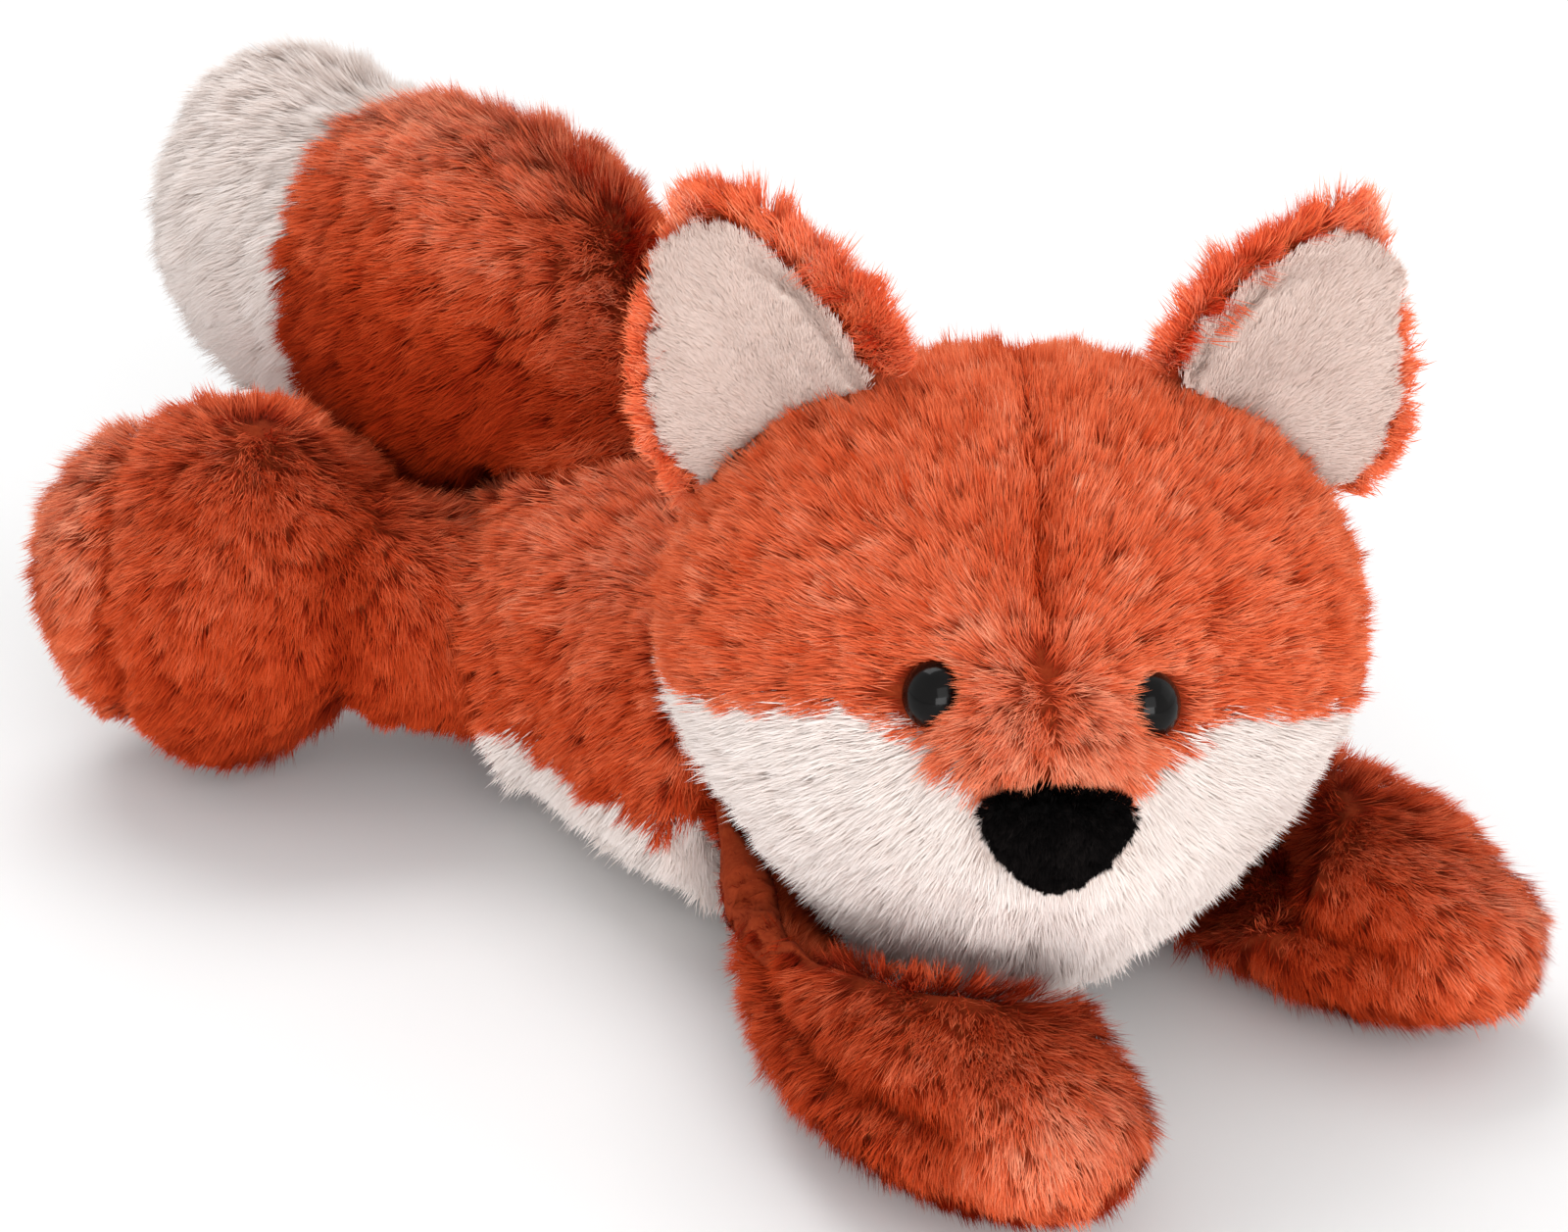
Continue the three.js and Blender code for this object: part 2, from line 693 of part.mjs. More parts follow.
// Ears: cupped triangles with a thin lining in front
function earForm(share, rise, ahead) {
  const geometry = closed(new THREE.SphereGeometry(1, 14, 10));
  geometry.rotateX(Math.PI / 2);
  const place = geometry.attributes.position;
  for (let i = 0; i < place.count; i += 1) {
    const v = (place.getZ(i) + 1) / 2;
    const taper = earFullShare * (1 - v) ** EAR_POINT;
    const x = (place.getX(i) * EAR_WIDTH * share * taper) / 2;
    const cup = EAR_CUP * ((2 * x) / EAR_WIDTH) ** 2;
    place.setXYZ(
      i,
      x,
      (place.getY(i) * EAR_THICKNESS) / 2 - cup - ahead,
      (v * share + rise) * EAR_HEIGHT,
    );
  }
  geometry.computeVertexNormals();
  return geometry;
}
for (const [name, side] of RIGHT_AND_LEFT) {
  const holder = new THREE.Group();
  const [x, y, z] = earPlaceShares;
  holder.position.set(
    (side * x * HEAD_WIDTH) / 2,
    (y * HEAD_DEPTH) / 2,
    (z * HEAD_HEIGHT) / 2,
  );
  holder.rotation.set(
    radians(-EAR_BACK),
    radians(side * EAR_LEAN),
    radians(side * EAR_FACING),
    'ZYX',
  );
  head.add(holder);
  holder.updateMatrix();
  const toEar = holder.matrix.clone().invert();
  const hinge = V(0, 0, EAR_HEIGHT * earHingeShare);
  const headThere = swept(
    moved(solid(grown(headOuter, GAP)), toEar),
    hinge,
    ACROSS,
    turnedBack(EAR_FOLD_RANGE),
  );
  const outer = earForm(1, 0, 0);
  const lining = solid(earForm(liningShare, liningRiseShare, LINING_THICKNESS));
  add(`ear_outer_${name}`, solid(outer).subtract(headThere), FUR, holder);
  add(
    `ear_lining_${name}`,
    lining.subtract(solid(grown(outer, GAP))).subtract(headThere),
    LINING,
    holder,
  );
}

export default group;
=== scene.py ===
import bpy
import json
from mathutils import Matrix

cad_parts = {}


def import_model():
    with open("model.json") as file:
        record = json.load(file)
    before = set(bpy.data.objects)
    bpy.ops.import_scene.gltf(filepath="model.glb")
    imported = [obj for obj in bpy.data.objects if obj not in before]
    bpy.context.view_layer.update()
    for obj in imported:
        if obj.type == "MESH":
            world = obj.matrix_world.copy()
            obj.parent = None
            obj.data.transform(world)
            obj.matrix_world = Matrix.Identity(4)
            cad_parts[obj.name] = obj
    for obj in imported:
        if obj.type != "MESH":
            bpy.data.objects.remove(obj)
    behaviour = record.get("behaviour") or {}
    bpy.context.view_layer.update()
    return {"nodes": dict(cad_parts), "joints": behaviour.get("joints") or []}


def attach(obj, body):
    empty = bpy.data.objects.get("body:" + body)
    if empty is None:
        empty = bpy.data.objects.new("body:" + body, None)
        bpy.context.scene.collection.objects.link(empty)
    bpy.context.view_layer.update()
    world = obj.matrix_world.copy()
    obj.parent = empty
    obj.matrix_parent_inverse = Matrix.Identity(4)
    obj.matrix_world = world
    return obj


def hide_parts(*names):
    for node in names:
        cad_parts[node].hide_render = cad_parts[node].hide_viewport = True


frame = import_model()

import json
import math

import bmesh
import bpy
import numpy as np
from mathutils import Matrix, Vector
from mathutils.bvhtree import BVHTree
from mathutils.kdtree import KDTree

# A plush fox that lies on its belly: stuffed skins, combed pile of separate hairs, button eyes.
# Lengths are in metres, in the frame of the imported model.

MM = 0.001
SIDES = ("right", "left")
SIDE_SIGN = {"right": -1, "left": 1}
UP = np.array([0.0, 0.0, 1.0])

# Skins under the pile
VOXEL = 3.6 * MM
SKIN_SMOOTHING = 8
PILE_DEPTH = 4.8 * MM  # from the model's envelope down to the cloth
NOSE_DEPTH = 0.9 * MM

# Where things are on the head
HEAD_TURN = math.radians(-36)
HEAD_TILT = math.radians(3)
EYE_DIAMETER = 14 * MM
EYE_HEIGHT = 6 * MM
EYE_CLEAR = 6.2 * MM  # no pile crosses an eye within this distance of its middle
WASHER_RADIUS = 9 * MM
WASHER_REACH = 12 * MM
WASHER_COVER = 0.9 * MM  # how far under the eye's seat the cloth over a washer lies
SEAM_WIDTH = 3.2 * MM
SEAM_DEPTH = 1.8 * MM
BROW_DEPTH = 2.4 * MM  # how much deeper the seam is above the brow
SEAM_SWAY = 1.0 * MM
CHIN_SEAM_WIDTH = 3.5 * MM
CHIN_SEAM_DEPTH = 0.9 * MM
BRIDGE_WIDTH = 15 * MM
BRIDGE_RISE = 4.5 * MM
SOCKET_WIDTH = 11 * MM
SOCKET_DEPTH = 2.2 * MM
CHEEK_LINE = 3.4 * MM  # the orange pile hangs over the seam, so it starts this far above

# Pile
FLOOR_CLEAR = 0.5 * MM  # it lies on the floor at least this high
HIDDEN_REACH = 14 * MM  # how far it grows in where two parts touch
FORELEG_REACH = 70 * MM  # the same on the forelegs, which are seen under the cheeks
TOUCH = 1.5 * MM  # beyond the pile's depth: parts this close touch
FILL_TOUCH = 2 * MM  # the same for where a skin is let out
THICK = 5  # hairs on a square millimetre
TUFT = 24  # hairs in a tuft

rng = np.random.default_rng(7)


def deselect():
    bpy.ops.object.select_all(action="DESELECT")


def activate(obj):
    deselect()
    obj.select_set(True)
    bpy.context.view_layer.objects.active = obj


def apply_modifiers(obj):
    activate(obj)
    for modifier in list(obj.modifiers):
        bpy.ops.object.modifier_apply(modifier=modifier.name)


def unit(vectors):
    return vectors / np.maximum(np.linalg.norm(vectors, axis=-1, keepdims=True), 1e-9)


def dot(a, b):
    return (a * b).sum(axis=-1)


def bump(distance, reach):
    return np.exp(-(distance / reach) ** 2)


def ease(value, low, high):
    """0 below low, 1 above high, and smooth between."""
    t = np.clip((value - low) / (high - low), 0, 1)
    return t * t * (3 - 2 * t)


def vertices_of(mesh):
    out = np.empty((len(mesh.vertices), 3), dtype=np.float32)
    mesh.vertices.foreach_get("co", out.ravel())
    return out.astype(np.float64)


def normals_of(mesh):
    return np.array([v.normal[:] for v in mesh.vertices])


def place_vertices(obj, verts):
    obj.data.vertices.foreach_set("co", verts.astype(np.float32).ravel())
    obj.data.update()


def node_points(node):
    return vertices_of(frame["nodes"][node].data)


# The head's own directions, and the places of the face on it
TURN = Matrix.Rotation(HEAD_TURN, 3, "Z") @ Matrix.Rotation(HEAD_TILT, 3, "Y")
HEAD_X, HEAD_Y, HEAD_Z = (np.array(TURN @ Vector(way)) for way in ((1, 0, 0), (0, 1, 0), (0, 0, 1)))
JOINTS = {joint["name"]: joint for joint in frame["joints"]}
HEAD_AT = np.array(JOINTS["head_turn"]["pos_m"])
NOSE_AT = node_points("nose_pad").mean(axis=0)
EYE_WAY = {}
EYE_SEAT = {}
for side in SIDES:
    eye_points = node_points(f"eye_{side}")
    washer_at = node_points(f"eye_washer_{side}").mean(axis=0)
    EYE_WAY[side] = unit(eye_points.mean(axis=0) - washer_at)
    front_of_eye = ((eye_points - washer_at) @ EYE_WAY[side]).max()
    EYE_SEAT[side] = washer_at + EYE_WAY[side] * (front_of_eye - EYE_HEIGHT)
GAZE = {side: unit(EYE_WAY[side] + 0.6 * SIDE_SIGN[side] * HEAD_X) for side in SIDES}
BROW_AT = (EYE_SEAT["right"] + EYE_SEAT["left"]) / 2 + HEAD_Z * 1 * MM


def head_local(points):
    off = points - HEAD_AT
    return off @ HEAD_X, off @ HEAD_Y, off @ HEAD_Z


SEAM_X, _, BROW_Z = head_local(BROW_AT)


# Materials

def cleared(material):
    material.use_nodes = True
    tree = material.node_tree
    tree.nodes.clear()
    return tree


def linear(text):
    """A colour that is written as it looks, as light values."""
    out = []
    for i in (1, 3, 5):
        c = int(text[i:i + 2], 16) / 255
        out.append(c / 12.92 if c <= 0.04045 else ((c + 0.055) / 1.055) ** 2.4)
    return (*out, 1)


def ramp(tree, source, stops):
    node = tree.nodes.new("ShaderNodeValToRGB")
    elements = node.color_ramp.elements
    while len(elements) < len(stops):
        elements.new(0.5)
    for element, (position, colour) in zip(elements, stops):
        element.position = position
        element.color = linear(colour)
    tree.links.new(source, node.inputs["Fac"])
    return node.outputs["Color"]


def surface(tree, colour, roughness, specular=0.2):
    shader = tree.nodes.new("ShaderNodeBsdfPrincipled")
    shader.inputs["Roughness"].default_value = roughness
    shader.inputs["Specular IOR Level"].default_value = specular
    tree.links.new(colour, shader.inputs["Base Color"])
    output = tree.nodes.new("ShaderNodeOutputMaterial")
    tree.links.new(shader.outputs["BSDF"], output.inputs["Surface"])
    return shader


def pile_material(name, tones, along, specular=0.05):
    """The first stops run over a hair's tone, its own tone with painted light and shade added in; the
    second run along it, from root to tip, darker towards the root as painted shade deep in the pile.
    """
    material = bpy.data.materials.new(name)
    tree = cleared(material)
    spots = tree.nodes.new("ShaderNodeUVMap")
    spots.uv_map = "OFBake"
    split = tree.nodes.new("ShaderNodeSeparateXYZ")
    tree.links.new(spots.outputs["UV"], split.inputs["Vector"])
    tone_and_painted_light = ramp(tree, split.outputs["X"], tones)
    painted_root_shade = ramp(tree, split.outputs["Y"], along)
    mix = tree.nodes.new("ShaderNodeMix")
    mix.data_type = "RGBA"
    mix.blend_type = "MULTIPLY"
    mix.inputs["Factor"].default_value = 1
    tree.links.new(tone_and_painted_light, mix.inputs["A"])
    tree.links.new(painted_root_shade, mix.inputs["B"])
    surface(tree, mix.outputs["Result"], 0.8, specular)
    return material


def cloth_material(name, dark, light):
    """The knitted backing under the pile, with a fine grain."""
    material = bpy.data.materials.new(name)
    tree = cleared(material)
    spots = tree.nodes.new("ShaderNodeTexCoord")
    grain = tree.nodes.new("ShaderNodeTexNoise")
    grain.inputs["Scale"].default_value = 900
    tree.links.new(spots.outputs["Object"], grain.inputs["Vector"])
    colour = ramp(tree, grain.outputs["Fac"], [(0.3, dark), (0.7, light)])
    surface(tree, colour, 0.95, 0.1)
    return material


ORANGE = pile_material(
    "orange_pile",
    [(0.0, "#a83410"), (0.35, "#d4542a"), (0.65, "#f27e54"), (1.0, "#ffb694")],
    [(0.0, "#7c3c2a"), (0.4, "#c08a78"), (0.75, "#f2dcd2"), (1.0, "#ffffff")],
)
# The ears' orange pile, lighter than the rest: painted light, as light shining through its tufts
ORANGE_LONG_PAINTED_BACKLIGHT = pile_material(
    "orange_pile_long_painted_backlight",
    [(0.0, "#cc4a1e"), (0.4, "#f27244"), (0.7, "#ff9064"), (1.0, "#ffc8ae")],
    [(0.0, "#b86a52"), (0.4, "#e2b2a2"), (0.75, "#fbeee8"), (1.0, "#ffffff")],
)
WHITE = pile_material(
    "white_pile",
    [(0.0, "#e0d5cf"), (0.5, "#f4eae5"), (1.0, "#f9f3f0")],
    [(0.0, "#f4eae4"), (0.45, "#fbf6f3"), (1.0, "#ffffff")],
)
LINING = pile_material(
    "short_white_pile",
    [(0.0, "#dac4ba"), (0.5, "#e4d1c8"), (1.0, "#eddfd8")],
    [(0.0, "#ecdcd4"), (0.45, "#f8f0ec"), (1.0, "#ffffff")],
)
BLACK = pile_material(
    "black_pile",
    [(0.0, "#040303"), (0.5, "#0c0a0a"), (1.0, "#262120")],
    [(0.0, "#606060"), (1.0, "#ffffff")],
    specular=0.02,
)
# The orange backing is painted darker than the orange pile, as shade deep between the hairs
ORANGE_CLOTH_PAINTED_SHADE = cloth_material("orange_backing_painted_shade", "#8a3014", "#9a3c1c")
WHITE_CLOTH = cloth_material("white_backing", "#e8dcd6", "#f2e8e4")
LINING_CLOTH = cloth_material("lining_backing", "#ceb8ae", "#dac8be")
BLACK_CLOTH = cloth_material("black_backing", "#050404", "#0a0808")
PALE_PLASTIC = cloth_material("pale_plastic", "#d8d4ce", "#e6e2dc")


def eye_material():
    material = bpy.data.materials.new("eye_gloss")
    tree = cleared(material)
    spots = tree.nodes.new("ShaderNodeTexCoord")
    haze = tree.nodes.new("ShaderNodeTexNoise")
    haze.inputs["Scale"].default_value = 240
    tree.links.new(spots.outputs["Object"], haze.inputs["Vector"])
    colour = ramp(tree, haze.outputs["Fac"], [(0.3, "#050404"), (0.8, "#0b0908")])
    surface(tree, colour, 0.12, 0.14)
    return material


EYE_GLOSS = eye_material()


# Skins: the stuffed forms under the pile

def joined_copy(name, nodes):
    sheet = bmesh.new()
    for node in nodes:
        sheet.from_mesh(frame["nodes"][node].data)
    bmesh.ops.remove_doubles(sheet, verts=sheet.verts, dist=0.01 * MM)
    mesh = bpy.data.meshes.new(name)
    sheet.to_mesh(mesh)
    sheet.free()
    obj = bpy.data.objects.new(name, mesh)
    bpy.context.scene.collection.objects.link(obj)
    return obj


def keep_largest(obj):
    """Keeps the outer surface and drops what the remesh leaves inside."""
    mesh = bmesh.new()
    mesh.from_mesh(obj.data)
    left = set(mesh.verts)
    shells = []
    while left:
        shell = [left.pop()]
        for vert in shell:
            for edge in vert.link_edges:
                other = edge.other_vert(vert)
                if other in left:
                    left.remove(other)
                    shell.append(other)
        shells.append(shell)
    shells.sort(key=len, reverse=True)
    for shell in shells[1:]:
        bmesh.ops.delete(mesh, geom=shell, context="VERTS")
    mesh.to_mesh(obj.data)
    mesh.free()


def skin(name, nodes, depth, voxel=VOXEL, smoothing=SKIN_SMOOTHING):
    obj = joined_copy(name, nodes)
    remesh = obj.modifiers.new("Remesh", "REMESH")
    remesh.mode = "VOXEL"
    remesh.voxel_size = voxel
    smooth = obj.modifiers.new("Smooth", "SMOOTH")
    smooth.factor = 0.5
    smooth.iterations = smoothing
    apply_modifiers(obj)
    keep_largest(obj)
    shrink = obj.modifiers.new("Shrink", "DISPLACE")
    shrink.strength = -depth
    shrink.mid_level = 0
    again = obj.modifiers.new("Smooth", "SMOOTH")
    again.factor = 0.5
    again.iterations = 3
    apply_modifiers(obj)
    for polygon in obj.data.polygons:
        polygon.use_smooth = True
    return obj


def shaped(obj, move):
    """Moves each point of a skin in along its normal by what move gives for it."""
    verts = vertices_of(obj.data)
    place_vertices(obj, verts - normals_of(obj.data) * move(verts)[:, None])


def tree_of(nodes):
    verts, faces = [], []
    for node in nodes:
        mesh = frame["nodes"][node].data
        faces += [[i + len(verts) for i in p.vertices] for p in mesh.polygons]
        verts += [v.co.copy() for v in mesh.vertices]
    return BVHTree.FromPolygons(verts, faces)


def seam_distance(verts, first, second):
    """Signed distance to the seam between two panels: positive on the first one's side."""
    out = np.empty(len(verts))
    trees = tree_of(first), tree_of(second)
    for i, co in enumerate(verts):
        near, far = (tree.find_nearest(co)[3] for tree in trees)
        out[i] = far if near < far else -near
    return out


COVERS = {
    "torso": ["torso_back_cover", "torso_belly_cover"],
    "head": [f"head_{part}_{side}" for part in ("crown", "cheek") for side in SIDES],
    "tail": ["tail_cover", "tail_tip_cover"],
    **{f"{leg}_{side}": [f"{leg}_cover_{side}", f"{leg}_sole_{side}"]
       for leg in ("foreleg", "hindleg") for side in SIDES},
}
COVER_TREES = {body: tree_of(nodes) for body, nodes in COVERS.items()}
STUFFINGS = {
    "torso": "torso_stuffing",
    "tail": "tail_stuffing",
    **{f"{leg}_{side}": f"{leg}_stuffing_{side}" for leg in ("foreleg", "hindleg") for side in SIDES},
}


def touching(verts, normals, body, reach):
    """Which points have another part's cover within reach ahead of them."""
    others = [tree for name, tree in COVER_TREES.items() if name != body]
    out = np.zeros(len(verts), dtype=bool)
    for i, (co, normal) in enumerate(zip(verts, normals)):
        start, way = Vector(co), Vector(normal)
        out[i] = any(tree.ray_cast(start, way, reach)[0] is not None for tree in others)
    return out


def distance_to(verts, targets):
    if not len(targets):
        return np.full(len(verts), 1.0)
    tree = KDTree(len(targets))
    for i, co in enumerate(targets):
        tree.insert(co, i)
    tree.balance()
    return np.array([tree.find(co)[2] for co in verts])


def fill_in(obj, body):
    """Lets a skin out where another part lies against it, so that no gap opens between them."""
    verts, normals = vertices_of(obj.data), normals_of(obj.data)
    touched = touching(verts, normals, body, PILE_DEPTH + FILL_TOUCH)
    share = 1 - ease(distance_to(verts, verts[touched]), 0, 7 * MM)
    place_vertices(obj, verts + normals * (0.85 * PILE_DEPTH * share)[:, None])


class Cloth:
    """The triangles of a skin, with what the pile reads from them."""

    def __init__(self, obj, body=None, seam=None, reach=HIDDEN_REACH):
        mesh = obj.data
        mesh.calc_loop_triangles()
        self.verts = vertices_of(mesh)
        self.triangles = np.array([t.vertices[:] for t in mesh.loop_triangles])
        self.normals = normals_of(mesh)
        a, b, c = (self.verts[self.triangles[:, i]] for i in range(3))
        self.areas = np.linalg.norm(np.cross(b - a, c - a), axis=1) / 2
        self.seam = np.ones(len(self.verts)) if seam is None else seam
        self.hidden = self.how_hidden(body) if body else np.zeros(len(self.verts))
        shown = (self.hidden[self.triangles] < reach).any(axis=1)
        self.areas = np.where(shown, self.areas, 0)

    def how_hidden(self, body):
        """How far each point is from the open, where another part lies against it."""
        touched = touching(self.verts, self.normals, body, PILE_DEPTH + TOUCH)
        return np.where(touched, distance_to(self.verts, self.verts[~touched]), 0)

    def sample(self, count):
        face = rng.choice(len(self.areas), size=count, p=self.areas / self.areas.sum())
        r1, r2 = np.sqrt(rng.random(count)), rng.random(count)
        shares = np.stack([1 - r1, r1 * (1 - r2), r1 * r2], axis=1)
        corners = self.triangles[face]
        points = (self.verts[corners] * shares[..., None]).sum(axis=1)
        normals = unit((self.normals[corners] * shares[..., None]).sum(axis=1))
        seam = (self.seam[corners] * shares).sum(axis=1)
        hidden = (self.hidden[corners] * shares).sum(axis=1)
        return points, normals, seam, hidden


def waves(points, size, seed, count=14):
    """A smooth field between about -1 and 1 that changes over about that size."""
    own = np.random.default_rng(seed)
    ways = unit(own.normal(size=(count, 3)))
    lengths = size * own.uniform(0.7, 1.6, count)
    phases = own.uniform(0, 2 * math.pi, count)
    turns = points @ (ways / lengths[:, None] * 2 * math.pi).T + phases
    return np.sin(turns).sum(axis=1) / math.sqrt(count / 2) / 1.5


# Pile: tufts of thin pointed hairs that share a root, a way and a tone, with painted light and shade in
# that tone

def pile(name, body, nodes, cloth, material, keep, comb, *, thick=THICK, tuft=TUFT,
         length=9 * MM, width=0.28 * MM, spread=1.5 * MM, lean=1.02, rough=0.18, fine=0.14,
         gather=0.62, swirl=0.25, uneven=0.1, patch=9 * MM, mottle=0.5, shape=None, tone_and_painted_light=None,
         seed=1):
    """Grows pile on the cloth where keep says so, combed the way that comb gives."""
    count = int(thick / tuft * cloth.areas.sum() / MM ** 2)
    points, normals, seam, hidden = cloth.sample(count)
    kept = keep(points, normals, seam)
    points, normals, seam, hidden = points[kept], normals[kept], seam[kept], hidden[kept]
    # where another part lies close the hairs are shorter, and painted darker as shade between the parts
    shaded = ease(hidden, 0, 4 * MM)
    n = len(points)
    way = comb(points, normals)
    way = way - dot(way, normals)[:, None] * normals
    strength = np.linalg.norm(way, axis=1)
    way = unit(way)
    strength = np.minimum(strength / (strength + 0.35) * 1.35, 1)
    aside = np.cross(normals, way)
    turn = swirl * (waves(points, 2.2 * patch, seed + 1) + 0.4 * waves(points, 0.6 * patch, seed + 2))
    turn = turn + 1.2 * (1 - strength) * rng.normal(size=n)
    way = way * np.cos(turn)[:, None] + aside * np.sin(turn)[:, None]
    aside = np.cross(normals, way)
    rise = lean * np.maximum(strength, 0.6) + rough * waves(points, patch, seed + 3)
    rise = rise + fine * waves(points, 0.35 * patch, seed + 6) + 0.12 * rng.normal(size=n)
    full = length * (1 + uneven * waves(points, 0.8 * patch, seed + 4) + 0.09 * rng.normal(size=n))
    # A tuft's tone: its own tone, which changes at random, made darker as painted shade where another
    # part lies close, plus the painted light and shade that the part's function adds
    own = 0.5 * waves(points, 0.5 * patch, seed + 5) + 0.4 * waves(points, 3 * patch, seed + 7)
    own = 0.5 + 0.28 * mottle * (own + 0.5 * rng.normal(size=n)) - 0.35 * shaded
    full = full * (1 - 0.4 * shaded)
    if shape is not None:
        full = full * shape(points, seam)
    if tone_and_painted_light is not None:
        own = own + tone_and_painted_light(points, normals)
    # one row for each hair
    index = np.repeat(np.arange(n), tuft)
    m = len(index)
    shift = rng.normal(size=(m, 2)) * spread
    normal, forward, across = normals[index], way[index], aside[index]
    offset = forward * shift[:, :1] + across * shift[:, 1:]
    root = points[index] + offset
    stray = rng.normal(size=(m, 2)) * 0.11
    size = full[index] * rng.uniform(0.82, 1.06, m)
    angle = rise[index] + stray[:, 0]
    tip_way = unit(forward * np.sin(angle)[:, None] + normal * np.cos(angle)[:, None]
                   + across * stray[:, 1:])
    drawn = gather * rng.uniform(0.6, 1.1, m)
    tip = root + tip_way * size[:, None] - offset * drawn[:, None]
    return hairs(name, body, nodes, material, root, tip, normal,
                 width * rng.uniform(0.7, 1.25, m),
                 np.clip(own[index] + 0.06 * rng.normal(size=m), 0.02, 0.96))


def clear_of_eyes(*points):
    """Which hairs leave the eyes free."""
    free = np.ones(len(points[0]), dtype=bool)
    for side in SIDES:
        for point in points:
            off = point - EYE_SEAT[side]
            ahead = off @ GAZE[side]
            off = off - ahead[:, None] * GAZE[side]
            free &= ~((np.linalg.norm(off, axis=1) < EYE_CLEAR) & (np.abs(ahead) < 20 * MM))
    return free


def hairs(name, body, nodes, material, root, tip, normal, width, tone_and_painted_light):
    """One piece of hairs. Each is a thin triangle, pointed at both ends, widest near its tip."""
    for point in (root, tip):
        low = point[:, 2] < FLOOR_CLEAR
        point[low, 2] = FLOOR_CLEAR + rng.random(low.sum()) * FLOOR_CLEAR
    if body == "head":
        free = clear_of_eyes(root, root + 0.6 * (tip - root), tip)
        root, tip, normal, width, tone_and_painted_light = (a[free] for a in (root, tip, normal, width, tone_and_painted_light))
    n = len(root)
    run = unit(tip - root)
    flat = unit(np.cross(run, normal))
    lifted = np.cross(flat, run)
    roll = rng.normal(size=n) * 0.18 + np.where(rng.random(n) < 0.5, math.pi, 0)
    side = flat * np.cos(roll)[:, None] + lifted * np.sin(roll)[:, None]
    mid = root + 0.6 * (tip - root) + side * width[:, None]
    facing = dot(np.cross(mid - root, tip - root), normal) < 0
    second = np.where(facing[:, None], tip, mid)
    third = np.where(facing[:, None], mid, tip)
    verts = np.stack([root, second, third], axis=1)
    mesh = bpy.data.meshes.new(name)
    mesh.vertices.add(3 * n)
    mesh.vertices.foreach_set("co", verts.astype(np.float32).ravel())
    mesh.loops.add(3 * n)
    mesh.loops.foreach_set("vertex_index", np.arange(3 * n, dtype=np.int32))
    mesh.polygons.add(n)
    mesh.polygons.foreach_set("loop_start", np.arange(0, 3 * n, 3, dtype=np.int32))
    mesh.polygons.foreach_set("use_smooth", np.ones(n, dtype=bool))
    # hairs are lit as round, soft fibres that stand on the skin
    upright = unit(normal - 0.6 * dot(normal, run)[:, None] * run)
    turned = unit(upright + 0.2 * side)
    soft = np.stack([upright, np.where(facing[:, None], upright, turned),
                     np.where(facing[:, None], turned, upright)], axis=1)
    along = np.where(facing[:, None], [0.02, 0.98, 0.62], [0.02, 0.62, 0.98])
    wide = np.where(facing[:, None], [0, 0, 0.012], [0, 0.012, 0])
    spots = mesh.uv_layers.new(name="OFBake")
    uv = np.stack([tone_and_painted_light[:, None] + wide, along], axis=2)
    spots.data.foreach_set("uv", uv.astype(np.float32).ravel())
    mesh.update(calc_edges=True)
    shading = mesh.attributes.new("custom_normal", "FLOAT_VECTOR", "POINT")
    shading.data.foreach_set("vector", soft.astype(np.float32).ravel())
    obj = bpy.data.objects.new(name, mesh)
    bpy.context.scene.collection.objects.link(obj)
    mesh.materials.append(material)
    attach(obj, body)
    if nodes:
        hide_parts(*nodes)
    return obj


def dressed(obj, body, nodes, materials, second=None):
    """Gives a skin its cloth: the second cloth where second says so."""
    for material in materials:
        obj.data.materials.append(material)
    if second is not None:
        for polygon in obj.data.polygons:
            polygon.material_index = int(second[list(polygon.vertices)].mean() > 0)
    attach(obj, body)
    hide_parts(*nodes)


def everywhere(points, normals, seam):
    return np.ones(len(points), dtype=bool)


def past(line):
    """The first panel's side of the seam, from that far on."""
    return lambda points, normals, seam: seam > line


def before(line):
    return lambda points, normals, seam: seam <= line


# Head

def on_seam(z):
    """How much of the centre seam shows at a height: none below the brow, little at the top."""
    above_brow = ease(z, BROW_Z - 12 * MM, BROW_Z + 6 * MM)
    near_top = ease(z, BROW_Z + 30 * MM, BROW_Z + 50 * MM)
    return above_brow * (1 - 0.95 * near_top)


def head_pull(verts):
    """The centre seam, the eye sockets and the chin's seam drawn in, the bridge of the nose out."""
    x, y, z = head_local(verts)
    nose_x, _, nose_z = head_local(NOSE_AT)
    seam_line = SEAM_X + SEAM_SWAY * np.sin(z / (9 * MM))
    deep = SEAM_DEPTH + BROW_DEPTH * bump(z - BROW_Z - 18 * MM, 13 * MM)
    pull = deep * bump(x - seam_line, SEAM_WIDTH) * on_seam(z)
    chin = ease(-y, 0, 15 * MM) * ease(nose_z - 9 * MM - z, 0, 6 * MM)
    pull = pull + CHIN_SEAM_DEPTH * bump(x - nose_x, CHIN_SEAM_WIDTH) * chin
    bridge = NOSE_AT + (BROW_AT - NOSE_AT) * 0.55
    pull = pull - BRIDGE_RISE * bump(np.linalg.norm(verts - bridge, axis=1), BRIDGE_WIDTH)
    for side in SIDES:
        socket = EYE_SEAT[side] + 3 * MM * SIDE_SIGN[side] * HEAD_X
        pull = pull + SOCKET_DEPTH * bump(np.linalg.norm(verts - socket, axis=1), SOCKET_WIDTH)
    return pull


